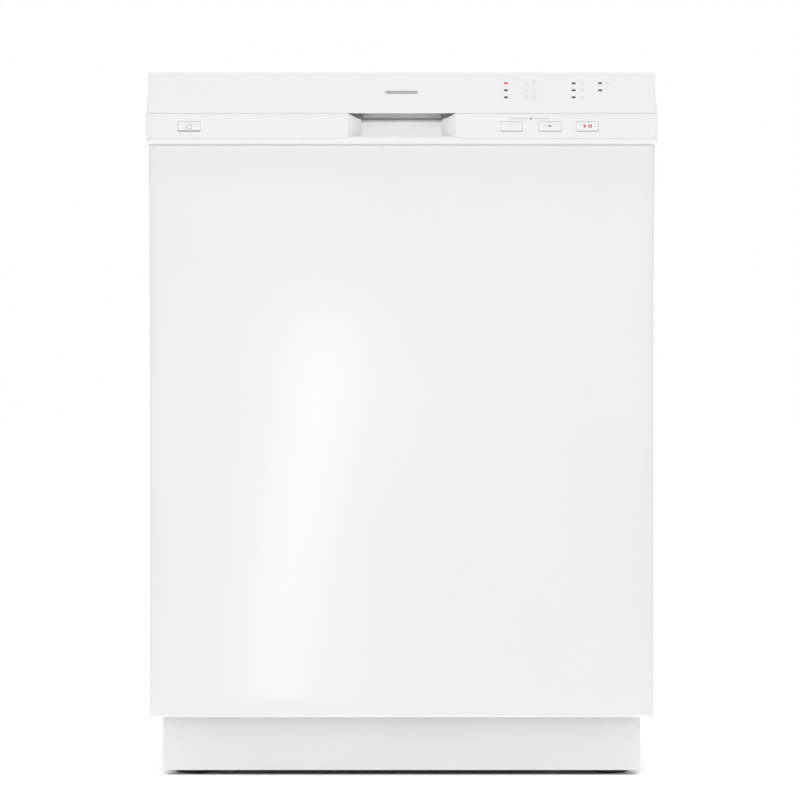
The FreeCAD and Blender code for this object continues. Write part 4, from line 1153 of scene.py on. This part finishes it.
@shape()
def float_dome(mesh, low, high):
    centre = middle_of(low, high)
    profile = [(17.6, 150.6), (19.8, 150.6), (20, 151), (20, 162.6), (19.4, 165.4), (17.6, 168.4),
               (14.8, 170.6), (11, 171.9), (6, 172.4), (5.6, 171.6), (0, 171.4)]
    lathe(mesh, profile, centre, "z", 64, lambda a, z: 1 - 0.06 * (152 < z < 162) * (math.cos(8 * a) > 0.7))


@shape("lower_spray_arm", "upper_spray_arm", sharp=45)
def spray_arm(mesh, low, high):
    """A spray arm: a lens-shaped blade with nozzles and ridges along it and a hub in the middle."""
    reach, middle_y, mid_z, tall = high.x, 28.0, (low.z + high.z) / 2, (high.z - low.z) / 2

    def edges(x):
        share = abs(x) / reach
        wide, narrow = 24 - 10 * share, 24 - 8 * share
        round_end = math.sqrt(max(0.0, 1 - max(0.0, (abs(x) - (reach - 13)) / 13) ** 2))
        top, bottom = (narrow, wide) if x > 0 else (wide, narrow)
        return -bottom * round_end, top * round_end

    xs = sorted({round(v, 3) for v in steps_between(-reach + 13, reach - 13, 33)}
                | {sign * (reach - 13 * (1 - math.sin(math.radians(a)))) for sign in (-1, 1)
                   for a in (15, 30, 45, 60, 72, 82)})
    turns = [(math.cos(2 * math.pi * k / 28), math.sin(2 * math.pi * k / 28)) for k in range(28)]
    rings = []
    for x in xs:
        a, b = edges(x)
        rings.append([])
        for c, s in turns:
            y = (a + b) / 2 + (b - a) / 2 * math.copysign(abs(c) ** 0.8, c)
            z = mid_z + tall * 0.92 * math.copysign(abs(s) ** 0.75, s) * min(1.0, (b - a) / 14.0)
            rings[-1].append(mesh.verts.new((x, middle_y + y, z)))
    skin_rings(mesh, rings)
    for k, x in enumerate((-196, -165, -132, -98, -64, 64, 98, 132, 165, 196)):
        lathe(mesh, [(4.4, mid_z + tall * 0.8), (4.2, high.z - 0.3), (3.4, high.z), (1.9, high.z),
                     (1.6, high.z - 1.6), (0, high.z - 1.6)], (x, middle_y + 4 * (-1) ** k, 0), "z", 20,
              lambda a, z: 1 + 0.35 * abs(math.cos(a)))
    lathe(mesh, [(7, high.z), (16, high.z), (20, high.z - 1.5), (22, high.z - 5), (22, low.z + 4),
                 (18, low.z), (7, low.z), (7, high.z)], (0, middle_y, 0), "z", 48,
          lambda a, z: 1 - 0.05 * (math.cos(10 * a) > 0.5))
    for sign in (-1, 1):
        prism(mesh, [(sign * 30, middle_y - 1), (sign * 30, middle_y + 1), (sign * 190, middle_y + 0.6),
                     (sign * 190, middle_y - 0.6)], high.z - 1.4, high.z - 0.2, "z", 0.3)


def threaded_stub(mesh, centre, radius, bore, start, end, depth):
    """A threaded pipe along Y."""
    turns = [(radius, start + (end - start) * k / 60) for k in range(1, 58)]
    thread = threaded(1.8, depth)
    lathe(mesh, [(bore, start), (radius, start)] + turns + [(radius * 0.9, end), (bore, end), (bore, start)],
          centre, "y", 48, lambda a, y: thread(a, y) if start + 1 < y < end - 1 else 1.0)


@shape()
def inlet_valve(mesh, low, high):
    """The water valve with its coil and threaded stub."""
    middle = (low.x + high.x) / 2
    rounded_block(mesh, (low.x, low.y + 1, 62), (high.x, 262, 98), 4)
    lathe(mesh, [(0, low.y), (11, low.y), (12, low.y + 1), (12, low.y + 8), (0, low.y + 8)],
          (middle, 0, 80), "y", 36)
    threaded_stub(mesh, (middle, 0, 80), 13.2, 9.0, 265.0, high.y, 0.06)


@shape()
def drain_outlet(mesh, low, high):
    """The drain spigot with its barbs."""
    profile = [(8, 265), (13, 265), (13, 268), (12.4, 269), (9.6, 269)]
    for k in range(3):
        profile += [(9.6, 270 + 4.6 * k), (10.5, 271 + 4.6 * k), (9.6, 274 + 4.6 * k)]
    profile += [(9.4, high.y), (8, high.y), (8, 265)]
    lathe(mesh, profile, middle_of(low, high, "y"), "y", 40)


@shape()
def mains_inlet(mesh, low, high):
    """The ribbed gland for the mains lead."""
    profile = [(4.5, 265), (13, 265), (13, 268.6), (12.4, 269), (9, 270)]
    for k in range(6):
        profile += [(8.6 - 0.2 * k, 271 + 1.6 * k), (7.4 - 0.1 * k, 271 + 1.6 * k + 0.8)]
    profile += [(7.4, high.y), (4.5, high.y), (4.5, 265)]
    lathe(mesh, profile, middle_of(low, high, "y"), "y", 36,
          lambda a, y: 1 - 0.06 * (y < 269) * abs(math.sin(3 * a)))


@softened(2.5, 6.0)
def air_break_chamber(mesh, low, high):
    """The winding water channels that show through the chamber's side."""
    for k in range(5):
        z = 290 + 62 * k
        ends = (0, 120) if k % 2 else (-10, 100)
        points = bend([(low.x + 0.8, ends[0], z), (low.x + 0.8, ends[1], z),
                       (low.x + 0.8, ends[1], z + 40)], 14)
        wire(mesh, points, 1.6, 8)


# --------------------- racks

WIRE = 1.5


def hoop(mesh, low, high, z, corner, steps, thick, sides=8):
    """A closed rectangular wire with rounded corners at one height."""
    corners = [(low[0], low[1], z), (high[0], low[1], z), (high[0], high[1], z), (low[0], high[1], z)]
    wire(mesh, bend(corners, corner, steps, closed=True), thick, sides, closed=True)


def wire_basket(mesh, side, near, far, base, rim, counts):
    """A basket of bent wires: U-shaped wires both ways and hoops around them."""
    across, along, hoops = counts
    for x in steps_between(-side + 14, side - 14, across):
        wire(mesh, bend([(x, near, rim - 2), (x, near, base), (x, far, base), (x, far, rim - 2)], 12), WIRE)
    for y in steps_between(near + 14, far - 14, along):
        wire(mesh, bend([(-side, y, rim - 2), (-side, y, base + 2.2), (side, y, base + 2.2),
                         (side, y, rim - 2)], 12), WIRE)
    for z in steps_between(base + 16, rim, hoops):
        hoop(mesh, (-side - 2, near - 2), (side + 2, far + 2), z, 20, 6, WIRE * (1.5 if z == rim else 1.0),
             10)


def tine_row(mesh, x, near, far, foot, tall, count):
    """A base wire with upright tines that lean a little and have rounded tips."""
    wire(mesh, [(x, near, foot), (x, far, foot)], WIRE)
    for y in steps_between(near + 4, far - 4, count):
        wire(mesh, [(x, y, foot), (x, y, foot + tall * 0.6), (x, y + 1.2, foot + tall - 1)], WIRE)


@shape(sharp=60)
def lower_rack(mesh, low, high):
    wire_basket(mesh, 260.5, -172.0, 235.0, 190.0, 330.0, (13, 10, 4))


@shape(sharp=60)
def lower_rack_tines(mesh, low, high):
    for x in steps_between(low.x + WIRE, high.x - WIRE, 4):
        tine_row(mesh, x, low.y, high.y, low.z + WIRE, 95, 11)


@shape(sharp=60)
def upper_rack(mesh, low, high):
    near, far, base = -186.0, 238.0, 500.0
    wire_basket(mesh, 252.0, near, far, base, 612.0, (12, 10, 3))
    for x in (-125, 0, 125):
        tine_row(mesh, x, near + 24, far - 24, base + 5.2, 60, 11)


@shape(sharp=60)
def cup_shelf(mesh, low, high):
    level = low.z + WIRE
    left, right, near, far = low.x + WIRE, high.x - WIRE, low.y + WIRE, high.y - WIRE
    hoop(mesh, (left, near), (right, far), level, 12, 5, WIRE)
    for x in steps_between(low.x + 30, high.x - 30, 2):
        wire(mesh, [(x, near, level), (x, far, level)], WIRE)
    for y in steps_between(low.y + 24, high.y - 24, 9):
        wire(mesh, bend([(left, y, level + 1), (low.x + 40, y, level + 2), (right, y, level + 1)], 30),
             WIRE * 0.8)


@shape()
def cutlery_basket(mesh, low, high):
    """The cutlery basket: latticed walls, floor and two partitions."""
    pitch, opening, thick, margin = 9.0, 6.4, 2.2, 5.0

    def slots(a, b):
        count = int((b - a - 2 * margin) / pitch)
        first = (a + b) / 2 - count * pitch / 2 + (pitch - opening) / 2
        return [(first + k * pitch, first + k * pitch + opening) for k in range(count)]

    def lattice(u_axis, v_axis, place):
        ends = [(getattr(low, axis), getattr(high, axis)) for axis in (u_axis, v_axis)]
        spans = [slots(*pair) for pair in ends]
        us, vs = (sorted([*pair, *(e for slot in row for e in slot)]) for pair, row in zip(ends, spans))
        plate(mesh, us, vs, place, 0.0, thick, lambda u, v: all(
            any(a < value < b for a, b in row) for value, row in zip((u, v), spans)))

    lattice("x", "y", lambda u, v, t: (u, v, low.z + t))
    for y in [low.y + 69.2 * k for k in range(3)] + [high.y - thick]:
        lattice("x", "z", lambda u, v, t: (u, y + t, v))
    for x in (low.x, high.x - thick):
        lattice("y", "z", lambda u, v, t: (x + t, u, v))
    hoop(mesh, (low.x + 1, low.y + 1), (high.x - 1, high.y - 1), high.z - 1.4, 5, 3, 1.6)


@shape("lower_wheels_front", "lower_wheels_rear")
def wheels(mesh, low, high):
    """Two rack wheels: a tread with two grooves, a hub and six spokes."""
    radius = (high.z - low.z) / 2
    tread = [(radius - 4.5, 1), (radius - 1, 0.2), (radius, 1.4), (radius, 2.6), (radius - 0.7, 3.0),
             (radius, 3.4), (radius, 4.6), (radius - 0.7, 5.0), (radius, 5.4), (radius, 6.6),
             (radius - 1, 7.8), (radius - 4.5, 7), (radius - 4.5, 1)]
    hub = [(3.1, 0), (6.2, 0), (6.8, 0.8), (6.8, 7.2), (6.2, 8), (3.1, 8), (3.1, 0)]
    for start in (low.x, high.x - 8):
        middle = middle_of(low, high, "x")
        lathe(mesh, tread, middle + Vector((start, 0, 0)), "x", 56)
        lathe(mesh, hub, middle + Vector((start, 0, 0)), "x", 32)
        for k in range(6):
            part = bmesh.new()
            rounded_block(part, (start + 1.6, -1.3, 6.0), (start + 6.4, 1.3, radius - 3.8), 0.5, 2)
            part.transform(Matrix.Translation(middle) @ Matrix.Rotation(math.pi * k / 3, 4, "X"))
            absorb(mesh, part)


@softened(1.0, 5.0)
def lower_rack_fittings(mesh, low, high):
    """Snap ribs on the rack's handle bar."""
    for k in range(15):
        x = -70 + 10 * k
        rounded_block(mesh, (x - 1, low.y, 321), (x + 1, low.y + 2, 334), 0.4, 2)


@softened(0.8, 3.0)
def upper_rail_guides(mesh, low, high):
    """Small rollers in the rail guides."""
    for sign in (-1, 1):
        for y in (-192, -175, -158, 28, 45, 62):
            for z in (low.z + 2.2, high.z - 2.2):
                lathe(mesh, [(0, 0), (2.0, 0), (2.0, 5), (0, 5)], (sign * 266 - 2.5, y, z), "x", 16)


# --------------------- softened CAD shapes

@softened(0.4, 3.0)
def hinge_brackets(mesh, low, high):
    """Rivet heads on the hinge plates."""
    for sign in (-1, 1):
        for y in (-150, -90):
            lathe(mesh, [(4, 0), (3.6, 0.9 * sign), (2, 1.4 * sign), (0, 1.5 * sign)],
                  (sign * 293.5, y, 108), "x", 20)


@softened(0.5, 4.0)
def hinge_arms(mesh, low, high):
    for sign in (-1, 1):
        for z in (170, 215):
            screw_heads(mesh, [(sign * 290, -247, z)], "x", sign, 3.6)


@softened(2.0, 6.0)
def spray_feed(mesh, low, high):
    """Clips that hold the duct to the back wall."""
    for z in (230, 400, 570, 720):
        rounded_block(mesh, (-17, 251, z), (17, 261.5, z + 9), 1.5)
        for x in (-15, 15):
            lathe(mesh, [(2.6, 0), (2.2, -0.8), (0, -1.0)], (x, 251, z + 4.5), "y", 16)


for node, width, least_edge in (("door_strike", 0.5, 2.0), ("upper_arm_feed", 1.5, 5.0),
                                ("upper_rails", 1.2, 4.0), ("latch_housing", 1.2, 5.0)):
    soften(node, width, least_edge)


def springs():
    """The springs stay CAD pieces, because they stretch with the door."""
    item = frame["nodes"]["hinge_springs"]
    item.data.materials.clear()
    item.data.materials.append(MATERIALS["spring_steel"])


# --------------------- stage, light and camera

def stage():
    """The white floor. Its glow starts just inside the machine's footprint and fades far away."""
    material = bpy.data.materials.new("studio_floor")
    material.use_nodes = True
    tree = material.node_tree
    scaled = add(tree, "VectorMath", add(tree, "TexCoord").outputs["Object"], (1 / 0.285, 1 / 0.212, 0),
                 operation="MULTIPLY")
    split = add(tree, "SeparateXYZ", add(tree, "VectorMath", scaled.outputs[0],
                                         operation="ABSOLUTE").outputs[0])
    wider = add(tree, "Math", split.outputs["X"], split.outputs["Y"], operation="MAXIMUM")
    fades = [add(tree, "MapRange", wider.outputs[0], *ends).outputs["Result"]
             for ends in ((0.95, 1.01, 0.0, 0.56), (1.05, 3.5, 1.0, 0.65))]
    glow = add(tree, "Math", *fades, operation="MULTIPLY")
    feed(tree.nodes["Principled BSDF"], Base_Color=(0.95, 0.95, 0.95, 1), Roughness=0.9,
         Emission_Color=(1, 1, 1, 1), Emission_Strength=glow.outputs[0])
    data = bpy.data.meshes.new("studio_floor")
    reach = 60.0
    data.from_pydata([(-reach, -reach, 0), (reach, -reach, 0), (reach, reach, 0), (-reach, reach, 0)], [],
                     [(0, 1, 2, 3)])
    data.materials.append(material)
    floor = bpy.data.objects.new("studio_floor", data)
    bpy.context.scene.collection.objects.link(floor)


def soft_light(name, place, aim, size, power, diffuse=True, roll=0.0):
    data = bpy.data.lights.new(name, "AREA")
    data.shape, data.size, data.size_y, data.energy = "RECTANGLE", size[0], size[1], power
    lamp = bpy.data.objects.new(name, data)
    lamp.location = place
    turn = (Vector(aim) - Vector(place)).to_track_quat("-Z", "Y") @ Quaternion((0, 0, 1), math.radians(roll))
    lamp.rotation_euler = turn.to_euler()
    lamp.visible_camera, lamp.visible_diffuse = False, diffuse
    bpy.context.scene.collection.objects.link(lamp)


def lights():
    """A room that lights the machine less than the backdrop which the camera sees, and three soft lamps."""
    world = bpy.data.worlds.new("studio")
    bpy.context.scene.world = world
    world.use_nodes = True
    tree = world.node_tree
    room = feed(tree.nodes["Background"], (1, 1, 1, 1), 0.7)
    backdrop = add(tree, "Background", (1, 1, 1, 1), 1.0)
    seen = add(tree, "LightPath").outputs["Is Camera Ray"]
    feed(tree.nodes["World Output"], add(tree, "MixShader", seen, room.outputs[0],
                                         backdrop.outputs[0]).outputs[0])
    soft_light("front", (0, -5.0, 1.0), (0, -0.3, 0.4), (2.4, 1.6), 17.0)
    soft_light("overhead", (0, -0.7, 3.2), (0, -0.3, 0.8), (2.0, 2.0), 20.0)
    soft_light("door_panel_glow", (-0.147, -1.2, 0.281), (-0.147, -0.27, 0.281), (0.08, 0.58), 0.8, False,
               -9.2)


def camera():
    data = bpy.data.cameras.new("camera")
    data.lens, data.sensor_width = 153.9, 36.0
    data.clip_end = 200
    item = bpy.data.objects.new("camera", data)
    item.location = (-0.002, -4.285, 0.4467)
    item.rotation_euler = (math.radians(90), 0, 0)
    bpy.context.scene.collection.objects.link(item)
    bpy.context.scene.camera = item


for build in (handle_pocket, springs, stage, lights, camera):
    build()
bpy.context.scene.view_settings.view_transform = "Standard"
